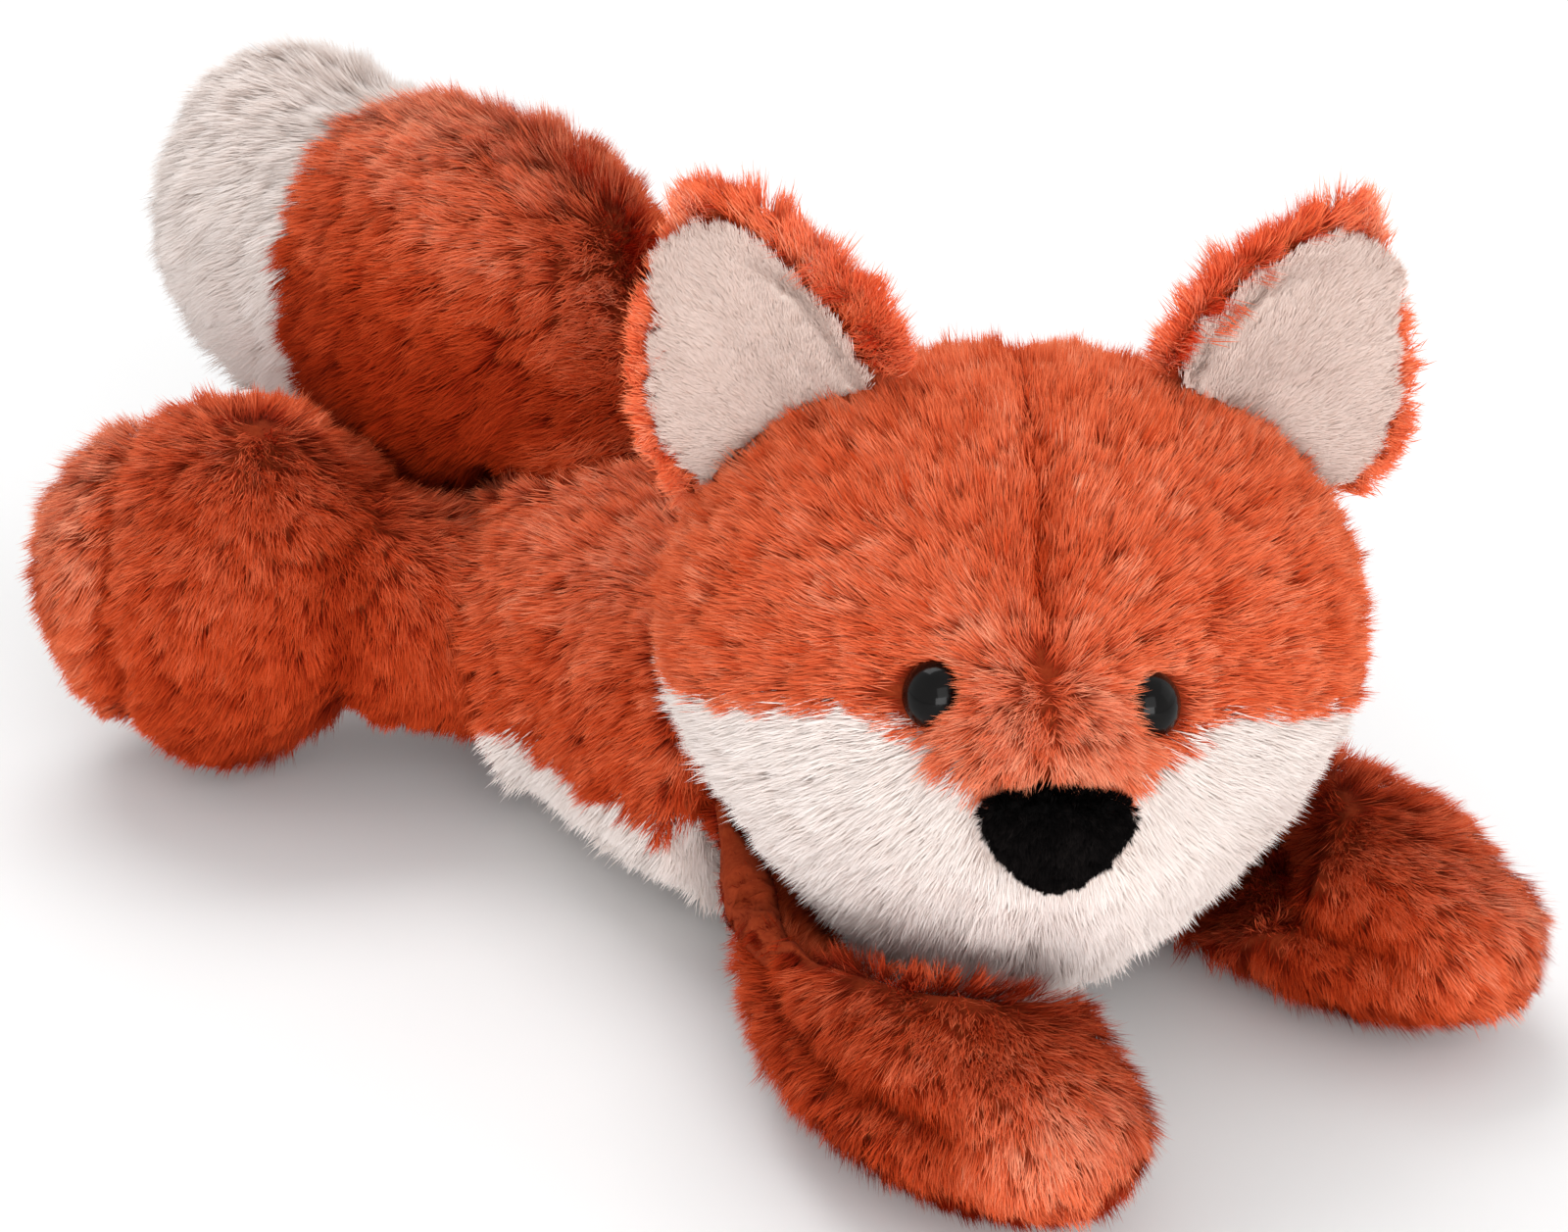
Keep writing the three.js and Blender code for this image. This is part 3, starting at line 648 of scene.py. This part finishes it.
def over_washers(obj):
    """Keeps the cloth over the washers, close under each eye's back."""
    verts = vertices_of(obj.data)
    for side in SIDES:
        off = verts - EYE_SEAT[side]
        ahead = off @ EYE_WAY[side]
        away = np.linalg.norm(off - ahead[:, None] * EYE_WAY[side], axis=1)
        least = -WASHER_COVER - 0.35 * np.maximum(away - WASHER_RADIUS, 0)
        near = (away < WASHER_REACH) & (np.abs(ahead) < 20 * MM)
        lift = np.where(near, np.maximum(least - ahead, 0), 0)
        verts = verts + lift[:, None] * EYE_WAY[side]
    place_vertices(obj, verts)


head_soft = COVERS["head"] + ["head_stuffing"]
head_fill = head_soft + [f"eye_{side}" for side in SIDES] + [f"eye_washer_{side}" for side in SIDES]
head_skin = skin("head_skin", head_fill, PILE_DEPTH)
shaped(head_skin, head_pull)
fill_in(head_skin, "head")
over_washers(head_skin)
head_seam = seam_distance(vertices_of(head_skin.data), COVERS["head"][:2], COVERS["head"][2:])
head_cloth = Cloth(head_skin, "head", head_seam)
dressed(head_skin, "head", head_soft, [ORANGE_CLOTH_PAINTED_SHADE, WHITE_CLOTH], second=CHEEK_LINE - head_seam)


def comb_head(points, normals):
    """Away from the brow, parted along the centre seam, and down at the back of the head."""
    x, y, z = head_local(points)
    way = (points - BROW_AT) / (8 * MM)
    way = way / np.maximum(np.linalg.norm(way, axis=1), 1)[:, None]
    parting = np.sign(x - SEAM_X) * bump(x - SEAM_X, 5 * MM) * on_seam(z)
    way = way + 0.3 * parting[:, None] * HEAD_X
    chin = ease(head_local(NOSE_AT)[2] - 10 * MM - z, 0, 8 * MM) * ease(-y, 0, 10 * MM)
    split = np.sign(x - head_local(NOSE_AT)[0]) * bump(x - head_local(NOSE_AT)[0], 9 * MM) * chin
    way = way + 0.25 * split[:, None] * HEAD_X
    return way - 0.7 * ease(y, 5 * MM, 40 * MM)[:, None] * UP


def head_length(points, seam):
    x, y, z = head_local(points)
    near_seam = bump(x - SEAM_X, 2.4 * MM) * on_seam(z)
    near_nose = np.exp(-(np.linalg.norm(points - NOSE_AT, axis=1) / (21 * MM)) ** 4)
    out = (1 - 0.35 * near_seam) * (1 - 0.3 * near_nose)
    for side in SIDES:
        out = out * (1 - 0.28 * bump(np.linalg.norm(points - EYE_SEAT[side], axis=1), 11 * MM))
    return out


# A little lighter all over, painted light on the bridge of the nose and the top of the head, and painted
# shade along the centre seam above the brow
def head_painted_light_and_shade(points, normals):
    x, y, z = head_local(points)
    above = on_seam(z)
    bridge = NOSE_AT + (BROW_AT - NOSE_AT) * 0.5
    top = ease(z, BROW_Z + 45 * MM, BROW_Z + 70 * MM)
    return (0.08 + 0.26 * bump(np.linalg.norm(points - bridge, axis=1), 24 * MM) + 0.34 * top
            - 0.3 * bump(x - SEAM_X, 1.8 * MM) * above)


def cheek_painted_shade(points, normals):
    """Painted shade: a little darker towards the left cheek."""
    return 0.06 - 0.42 * ease((points - HEAD_AT) @ HEAD_X, 5 * MM, 45 * MM)


def off_nose(points):
    x, y, z = (a - b for a, b in zip(head_local(points), head_local(NOSE_AT)))
    return (x / (16 * MM)) ** 2 + (z / np.where(z > 0, 12.5 * MM, 11.5 * MM)) ** 2 > 1


def head_pile(side):
    """The crown's and the cheek's pile on one side of the head."""
    sign = SIDE_SIGN[side]

    def on_side(points):
        return ((points - HEAD_AT) @ HEAD_X * sign > 0) & off_nose(points)

    def on_crown(points, normals, seam):
        return (seam > CHEEK_LINE) & on_side(points)

    def on_cheek(points, normals, seam):
        return (seam <= CHEEK_LINE) & on_side(points)

    pile(f"head_crown_{side}_pile", "head", [f"head_crown_{side}"], head_cloth, ORANGE, on_crown,
         comb_head, thick=1.8 * THICK, tuft=20, length=9 * MM, width=0.21 * MM, lean=1.16, rough=0.08,
         fine=0.15, spread=1.1 * MM, gather=0.72, swirl=0.18, uneven=0.1, patch=6 * MM, mottle=0.5,
         shape=head_length, tone_and_painted_light=head_painted_light_and_shade, seed=10 + sign)
    pile(f"head_cheek_{side}_pile", "head", [f"head_cheek_{side}"], head_cloth, WHITE, on_cheek,
         comb_head, thick=1.5 * THICK, length=9.5 * MM, width=0.22 * MM, lean=1.2, rough=0.05, fine=0.05,
         gather=0.2, swirl=0.14, shape=head_length, tone_and_painted_light=cheek_painted_shade, seed=20 + sign)


for side in SIDES:
    head_pile(side)


# Nose: a padded patch of short black pile
def nose_shape(obj):
    """Broad and nearly flat above, blunt below."""
    verts = vertices_of(obj.data)
    x, _, z = (a - b for a, b in zip(head_local(verts), head_local(NOSE_AT)))
    wider = 0.16 * ease(z, -2 * MM, 8 * MM) + 0.1 * ease(-z, 5 * MM, 11 * MM)
    lower = 0.45 * np.maximum(z - 6.5 * MM, 0)
    place_vertices(obj, verts + (x * wider)[:, None] * HEAD_X - lower[:, None] * HEAD_Z)


nose = skin("nose_patch", ["nose_pad"], NOSE_DEPTH, voxel=1.2 * MM, smoothing=4)
nose_shape(nose)
nose_cloth = Cloth(nose)
dressed(nose, "head", ["nose_pad"], [BLACK_CLOTH])
pile("nose_pile", "head", [], nose_cloth, BLACK, everywhere, lambda p, n: p * 0 - HEAD_Z,
     thick=24, tuft=10, length=2.5 * MM, width=0.18 * MM, spread=0.5 * MM, rough=0.3, patch=3 * MM,
     seed=30)


# Eyes: glossy domes sewn down into the pile
def dome(name, place, way, diameter, height):
    """Half of a ball, flattened, with a turned-in edge at its back."""
    deselect()
    bpy.ops.mesh.primitive_uv_sphere_add(segments=48, ring_count=24, radius=diameter / 2)
    obj = bpy.context.active_object
    obj.name = name
    bpy.ops.object.mode_set(mode="EDIT")
    bpy.ops.mesh.select_all(action="SELECT")
    bpy.ops.mesh.bisect(plane_co=(0, 0, -0.3 * diameter), plane_no=(0, 0, 1),
                        clear_inner=True, use_fill=True)
    bpy.ops.object.mode_set(mode="OBJECT")
    obj.scale = (1, 1, 2 * height / diameter)
    obj.rotation_euler = Vector(way).to_track_quat("Z", "Y").to_euler()
    obj.location = Vector(place)
    bpy.ops.object.transform_apply(location=True, rotation=True, scale=True)
    bpy.ops.object.shade_smooth_by_angle(angle=math.radians(40))
    return obj


for side in SIDES:
    eye = dome(f"eye_button_{side}", EYE_SEAT[side] - EYE_WAY[side] * 0.4 * MM, GAZE[side],
               EYE_DIAMETER, EYE_HEIGHT)
    eye.data.materials.append(EYE_GLOSS)
    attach(eye, "head")
    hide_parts(f"eye_{side}")


# Ears
EAR_OUTER = 0.96  # how broad its skin is on the outer side, next to the model's envelope of pile
EAR_INNER = {"right": 0.86, "left": 0.93}  # the same on the inner side
EAR_LOWER = 0.09  # how much lower it is than the envelope, as a share of the height
EAR_SKIN_DEPTH = 3.2 * MM
EAR_SINK = 7 * MM  # how far it runs down into the pile of the head
EAR_NEAR = 9 * MM  # how close to the head that starts
LINING_DEPTH = 0.7 * MM
LINING_INNER = {"right": 0.74, "left": 1}
LINING_BLUNT = 0.72
LINING_TOP = 9 * MM  # height under the tip that is pressed down
LINING_PRESS = 0.62  # by this share
LINING_OUT = 3 * MM
LINING_RIDGE = 1.2 * MM
LINING_VALLEY = 2 * MM


def ran_into(verts, tree, reach, depth):
    """Lengthens what lies close to another part down into that part's pile."""
    out = verts.copy()
    for i, co in enumerate(verts):
        _, normal, _, away = tree.find_nearest(co)
        if away < reach:
            out[i] -= np.array(normal) * depth * (1 - away / reach)
    return out


def ear(side):
    body = f"ear_{side}"
    joint = JOINTS[f"ear_fold_{side}"]
    outer = skin(f"ear_skin_{side}", [f"ear_outer_{side}"], EAR_SKIN_DEPTH, voxel=2.6 * MM, smoothing=5)
    lining = skin(f"ear_lining_skin_{side}", [f"ear_lining_{side}"], LINING_DEPTH, voxel=1.6 * MM,
                  smoothing=4)
    outer_points = node_points(f"ear_outer_{side}")
    lining_points = node_points(f"ear_lining_{side}")
    tip_of_ear = outer_points[outer_points[:, 2].argmax()]
    tip_of_lining = lining_points[lining_points[:, 2].argmax()]
    foot_of_ear = np.array(joint["pos_m"])
    up_ear = unit(tip_of_ear - foot_of_ear)
    facing = unit(np.cross(np.array(joint["axis"]), up_ear))
    facing = facing * np.sign((lining_points.mean(axis=0) - outer_points.mean(axis=0)) @ facing)
    inward = unit(np.cross(up_ear, facing))
    inward = inward * np.sign((HEAD_AT - foot_of_ear) @ inward)
    fan_from = foot_of_ear + up_ear * 12 * MM

    def narrowed(verts):
        """The outer skin, drawn in from the model's envelope on all sides."""
        height = (verts - foot_of_ear) @ up_ear
        aside = (verts - (tip_of_ear + foot_of_ear) / 2) @ inward
        narrower = np.where(aside < 0, EAR_OUTER - 1, EAR_INNER[side] - 1) * ease(height, 0, 20 * MM)
        verts = verts + (aside * narrower)[:, None] * inward
        return verts - (EAR_LOWER * height * ease(height, 20 * MM, 60 * MM))[:, None] * up_ear

    def cupped(verts, normals):
        """The lining's front, with a soft fold beside its inner edge."""
        height = (verts - foot_of_ear) @ up_ear
        aside = (verts - foot_of_ear) @ inward
        steps = np.linspace(height.min(), height.max(), 14)
        edge_aside = [aside[np.abs(height - step) < 4 * MM].max() for step in steps]
        away = np.interp(height, steps, edge_aside) - aside
        broad = 5 * MM + 4 * MM * ease(height, 20 * MM, 45 * MM)
        fold = LINING_RIDGE * bump(away - 0.4 * broad, 5 * MM)
        fold = fold - LINING_VALLEY * bump(away - 1.25 * broad, 4.5 * MM)
        fold = fold - 0.8 * MM * bump(away - 24 * MM, 15 * MM)
        fold = fold * ease(height.max() - height, 8 * MM, 26 * MM) + 0.4 * MM * waves(verts, 14 * MM, 55)
        return verts + (fold * (normals @ facing > 0))[:, None] * facing

    def blunted(verts):
        """The lining, blunt at the tip, which reaches out towards the ear's outer edge."""
        height = (verts - tip_of_lining) @ up_ear
        over = np.clip(height / (20 * MM) + 1, 0, 1)
        was = (verts - tip_of_lining) @ inward
        aside = np.where(was < 0, was / (1 - LINING_BLUNT * over), was * LINING_INNER[side])
        moved = aside - LINING_OUT * LINING_BLUNT * over ** 2 - was
        lower = LINING_PRESS * np.maximum(height + LINING_TOP, 0)
        return verts + moved[:, None] * inward - lower[:, None] * up_ear

    place_vertices(outer, ran_into(narrowed(vertices_of(outer.data)), COVER_TREES["head"], EAR_NEAR,
                                   EAR_SINK))
    verts = blunted(cupped(vertices_of(lining.data), normals_of(lining.data)))
    place_vertices(lining, ran_into(verts, COVER_TREES["head"], EAR_NEAR, EAR_SINK))

    outer_cloth = Cloth(outer)
    lining_cloth = Cloth(lining)
    dressed(outer, body, [f"ear_outer_{side}"], [ORANGE_CLOTH_PAINTED_SHADE])
    dressed(lining, body, [f"ear_lining_{side}"], [LINING_CLOTH])
    lining_tree = BVHTree.FromPolygons(lining_cloth.verts, lining_cloth.triangles.tolist())

    def round_lining(points, normals, seam):
        """All of the ear but what the lining covers in front."""
        ahead = Vector(facing)
        free = [lining_tree.ray_cast(Vector(p), ahead, 14 * MM)[0] is None for p in points]
        return np.array(free) | (normals @ facing < -0.4)

    def in_front(points, normals, seam):
        return normals @ facing > -0.2

    def comb_ear(points, normals):
        out = points - fan_from
        out = out - (out @ facing)[:, None] * facing
        return unit(out) + 0.2 * up_ear + 0.15 * facing

    def comb_lining(points, normals):
        return unit(points - fan_from + up_ear * 20 * MM)

    # Painted light: lighter towards the tip of the ear
    def ear_tip_painted_light(points, normals):
        corner = tip_of_ear - inward * 10 * MM
        return 0.12 + 0.5 * bump(np.linalg.norm(points - corner, axis=1), 14 * MM)

    def rim_length(points, seam):
        return 1 - 0.3 * ease((tip_of_ear - points) @ inward, -4 * MM, 12 * MM)

    pile(f"ear_outer_{side}_pile", body, [], outer_cloth, ORANGE_LONG_PAINTED_BACKLIGHT, round_lining, comb_ear,
         thick=2.1 * THICK, tuft=26, length=9.5 * MM, width=0.24 * MM, spread=1.6 * MM, lean=0.98,
         rough=0.14, gather=0.62, swirl=0.16, uneven=0.12, patch=7 * MM, shape=rim_length,
         tone_and_painted_light=ear_tip_painted_light, seed=40 + SIDE_SIGN[side])
    pile(f"ear_lining_{side}_pile", body, [], lining_cloth, LINING, in_front, comb_lining,
         thick=18, tuft=10, length=3.2 * MM, width=0.17 * MM, spread=0.6 * MM, lean=1.3,
         rough=0.05, fine=0.04, gather=0.1, swirl=0.2, uneven=0.1, patch=6 * MM, mottle=0.3,
         seed=50 + SIDE_SIGN[side])


for side in SIDES:
    ear(side)


# Torso, tail and legs

def stuffed_part(body, second_cloth, line, depth=PILE_DEPTH, pull=None, filled=True,
                 reach=HIDDEN_REACH):
    """The skin of a torso, tail or leg, drawn in by what pull gives and let out where parts touch."""
    nodes = COVERS[body]
    stuffing = STUFFINGS[body]
    obj = skin(f"{body}_skin", nodes + [stuffing], depth)
    seam = seam_distance(vertices_of(obj.data), nodes[:1], nodes[1:])
    if pull is not None:
        shaped(obj, pull)
    if filled:
        fill_in(obj, body)
    soften = obj.modifiers.new("Smooth", "SMOOTH")
    soften.factor = 0.5
    soften.iterations = 2
    apply_modifiers(obj)
    cloth = Cloth(obj, body, seam, reach)
    dressed(obj, body, nodes + [stuffing], [ORANGE_CLOTH_PAINTED_SHADE, second_cloth], second=line - seam)
    return cloth


# Torso
BELLY_LINE = 13 * MM  # from the seam up, where the orange pile starts
torso_cloth = stuffed_part("torso", WHITE_CLOTH, BELLY_LINE)


def comb_torso(points, normals):
    return np.broadcast_to([0, 0.8, -1.1], points.shape)


# Painted light: lighter where the pile faces up, darker where it faces down
def torso_painted_light(points, normals):
    return 0.3 * normals[:, 2] - 0.1


pile("torso_back_pile", "torso", ["torso_back_cover"], torso_cloth, ORANGE, past(BELLY_LINE),
     comb_torso, thick=1.2 * THICK, tuft=18, width=0.25 * MM, spread=1.2 * MM, lean=1.08, rough=0.12,
     tone_and_painted_light=torso_painted_light, seed=60)
pile("torso_belly_pile", "torso", ["torso_belly_cover"], torso_cloth, WHITE, before(BELLY_LINE),
     comb_torso, thick=0.9 * THICK, rough=0.1, gather=0.35, seed=61)


# Tail
TIP_LINE = 9 * MM  # from the seam on, where the orange pile starts
TAIL_DEPTH = 6.2 * MM
TAIL_LET_OUT = 3.5 * MM


def tail_pull(verts):
    """Let out below, where the tail rests on the hind leg."""
    return -TAIL_LET_OUT * (1 - ease(verts[:, 2], 50 * MM, 85 * MM))


tail_cloth = stuffed_part("tail", WHITE_CLOTH, TIP_LINE, TAIL_DEPTH, tail_pull)


def comb_tail(points, normals):
    return np.broadcast_to([-0.77, 0.64, -0.6], points.shape)


# Painted light: lighter where the pile faces up, darker where it faces sideways and down
def tail_painted_light(points, normals):
    return 0.9 * normals[:, 2] - 0.56


pile("tail_pile", "tail", ["tail_cover"], tail_cloth, ORANGE, past(TIP_LINE), comb_tail,
     thick=1.1 * THICK, tuft=28, length=10.5 * MM, width=0.26 * MM, spread=1.7 * MM, lean=1.08,
     rough=0.16, gather=0.68, tone_and_painted_light=tail_painted_light, seed=70)
pile("tail_tip_pile", "tail", ["tail_tip_cover"], tail_cloth, WHITE, before(TIP_LINE), comb_tail,
     thick=1.2 * THICK, length=10.5 * MM, width=0.24 * MM, lean=1.15, rough=0.06, gather=0.25, seed=71)


# Legs
PAW_FOLD = 31 * MM  # height of the fold along a front paw
PAW_FOLD_WIDTH = 4.4 * MM
PAW_FOLD_DEPTH = 5.76 * MM
SOLE_FOLD = 13 * MM  # from the end of a hind foot to the fold round its sole
SOLE_FOLD_WIDTH = 3.6 * MM
ANKLE = 66 * MM  # from the end of a hind foot to the crease where it meets the leg
ANKLE_WIDTH = 5 * MM
FOOT_FOLD_DEPTH = 3.6 * MM
CROWN_SHARE = {"foreleg": 0.55, "hindleg": 0.66}  # where the pile parts, from root to end


def beside_head(points):
    """1 against the head, and 0 from a finger's breadth away."""
    away = np.array([COVER_TREES["head"].find_nearest(p)[3] for p in points])
    return 1 - ease(away, 4 * MM, 17 * MM)


def make_leg(leg, side):
    body = f"{leg}_{side}"
    cover, sole = COVERS[body]
    front = leg == "foreleg"
    root_of_leg = np.array(JOINTS[f"{leg}_swing_{side}"]["pos_m"])
    leg_points = node_points(cover)
    top_of_leg = leg_points[:, 2].max()
    end_of_leg = leg_points[np.linalg.norm(leg_points - root_of_leg, axis=1).argmax()]
    along_leg = unit((end_of_leg - root_of_leg) * [1, 1, 0])
    reach_of_leg = ((leg_points - root_of_leg) @ along_leg).max()
    crown_of_leg = root_of_leg + (end_of_leg - root_of_leg) * CROWN_SHARE[leg]
    crown_of_leg[2] = top_of_leg

    def from_end(points):
        return reach_of_leg - (points - root_of_leg) @ along_leg

    def folds(points):
        """How deep in a fold each point is, from 0 to 1."""
        left, high = from_end(points), points[:, 2]
        if front:
            return bump(high - PAW_FOLD, PAW_FOLD_WIDTH) * ease(left, 12 * MM, 32 * MM)
        ankle = bump(left - ANKLE, ANKLE_WIDTH) * (1 - 0.5 * ease(high, 45 * MM, 65 * MM))
        return np.maximum(bump(left - SOLE_FOLD, SOLE_FOLD_WIDTH), ankle)

    def leg_pull(points):
        """Drawn in along the folds, and most under the ankle."""
        if front:
            return PAW_FOLD_DEPTH * folds(points) + 1.2 * MM * beside_head(points)
        left, high = from_end(points), points[:, 2]
        under = 1 - ease(high, 8 * MM, 34 * MM)
        out = FOOT_FOLD_DEPTH * folds(points) + 5 * MM * bump(left - ANKLE, 16 * MM) * under
        return out - 3.5 * MM * ease(high, 36 * MM, 60 * MM)

    def comb_leg(points, normals):
        """Away from the crown and on towards the end. Beside the head it is brushed up to the cheek."""
        out = (points - crown_of_leg) / (18 * MM)
        out = out / np.maximum(np.linalg.norm(out, axis=1), 1)[:, None]
        low = 1 - ease(points[:, 2] / top_of_leg, 0.3, 0.65)
        out = 0.8 * out + (0.25 + 0.5 * low)[:, None] * along_leg - 0.3 * UP
        return out + (0.6 * beside_head(points))[:, None] * unit(HEAD_AT + 10 * MM * UP - points)

    def leg_length(points, seam):
        return (1 - 0.42 * folds(points)) * (1 - 0.15 * beside_head(points))

    # Painted light and shade: lighter where the pile faces up and towards the end of the paw or foot,
    # painted shade in the folds and beside the head
    def leg_painted_light_and_shade(points, normals):
        painted_light_at_end = 1 - ease(from_end(points), 8 * MM, 30 * MM)
        dark = 0.36 * folds(points) + 0.3 * beside_head(points)
        return 0.24 * normals[:, 2] - 0.22 + 0.34 * painted_light_at_end - dark

    leg_cloth = stuffed_part(body, ORANGE_CLOTH_PAINTED_SHADE, 0, pull=leg_pull, filled=not front,
                             reach=FORELEG_REACH if front else HIDDEN_REACH)
    for panel, wanted, seed in ((cover, past(0), 80), (sole, before(0), 90)):
        pile(f"{panel}_pile", body, [], leg_cloth, ORANGE, wanted, comb_leg,
             thick=1.2 * THICK, tuft=20, width=0.24 * MM, spread=1.3 * MM, lean=1.1, rough=0.14,
             gather=0.66, uneven=0.08, shape=leg_length, tone_and_painted_light=leg_painted_light_and_shade,
             seed=seed + SIDE_SIGN[side])


for leg in ("foreleg", "hindleg"):
    for side in SIDES:
        make_leg(leg, side)


# What stays inside keeps its own plain finish
for side in SIDES:
    washer = frame["nodes"][f"eye_washer_{side}"]
    washer.data.materials.clear()
    washer.data.materials.append(PALE_PLASTIC)


# Floor, background, light and camera

CAMERA_LENS = 99
CAMERA_AT = (-0.573, -0.683, 0.514)
CAMERA_AIM = (0, 0, 0.060)


def pale_stage():
    deselect()
    bpy.ops.mesh.primitive_plane_add(size=12, location=(0, 0, 0))
    floor = bpy.context.active_object
    floor.name = "floor"
    material = bpy.data.materials.new("floor")
    tree = cleared(material)
    spots = tree.nodes.new("ShaderNodeTexCoord")
    grain = tree.nodes.new("ShaderNodeTexNoise")
    grain.inputs["Scale"].default_value = 3
    tree.links.new(spots.outputs["Object"], grain.inputs["Vector"])
    colour = ramp(tree, grain.outputs["Fac"], [(0.3, "#f1f1f1"), (0.7, "#f4f4f4")])
    surface(tree, colour, 0.9, 0.1)
    floor.data.materials.append(material)


def white_world(level):
    """White to the eye and in reflections, and an even soft light of that level on the rest."""
    world = bpy.data.worlds.new("studio")
    bpy.context.scene.world = world
    world.use_nodes = True
    tree = world.node_tree
    tree.nodes.clear()
    ray = tree.nodes.new("ShaderNodeLightPath")
    seen = ray.outputs["Is Camera Ray"]
    for kind in ("Is Glossy Ray", "Is Transmission Ray"):
        either = tree.nodes.new("ShaderNodeMath")
        either.operation = "MAXIMUM"
        tree.links.new(seen, either.inputs[0])
        tree.links.new(ray.outputs[kind], either.inputs[1])
        seen = either.outputs[0]
    mix = tree.nodes.new("ShaderNodeMixShader")
    tree.links.new(seen, mix.inputs["Fac"])
    for socket, strength in ((1, level), (2, 1)):
        background = tree.nodes.new("ShaderNodeBackground")
        background.inputs["Color"].default_value = (1, 1, 1, 1)
        background.inputs["Strength"].default_value = strength
        tree.links.new(background.outputs[0], mix.inputs[socket])
    output = tree.nodes.new("ShaderNodeOutputWorld")
    tree.links.new(mix.outputs[0], output.inputs["Surface"])


def softbox(name, place, aim, size, power):
    light = bpy.data.lights.new(name, "AREA")
    light.shape = "RECTANGLE"
    light.size, light.size_y = size
    light.energy = power
    lamp = bpy.data.objects.new(name, light)
    lamp.location = place
    lamp.rotation_mode = "QUATERNION"
    lamp.rotation_quaternion = (Vector(aim) - Vector(place)).to_track_quat("-Z", "Y")
    bpy.context.scene.collection.objects.link(lamp)


def camera():
    data = bpy.data.cameras.new("camera")
    data.lens = CAMERA_LENS
    data.sensor_width = 36
    data.clip_start = 0.02
    data.clip_end = 40
    obj = bpy.data.objects.new("camera", data)
    obj.location = CAMERA_AT
    aim = Vector(CAMERA_AIM) - obj.location
    obj.rotation_mode = "QUATERNION"
    obj.rotation_quaternion = aim.to_track_quat("-Z", "Y")
    bpy.context.scene.collection.objects.link(obj)
    bpy.context.scene.camera = obj


pale_stage()
white_world(0.70)
for light_name, light_at, light_aim, light_size, watts in (
        ("key", (-0.6, -1.35, 1.0), (0, 0, 0.05), (1.2, 1.0), 7),
        ("fill", (1.3, -0.8, 0.8), (0, 0, 0.05), (1.2, 1.0), 1.2),
        ("low", (-0.75, -1.25, 0.3), (0, 0, 0.08), (1.0, 0.5), 10),
        ("back", (0.3, 1.0, 1.8), (0, 0, 0.08), (1.4, 1.0), 18)):
    softbox(light_name, light_at, light_aim, light_size, watts)
camera()
bpy.context.scene.view_settings.view_transform = "Standard"
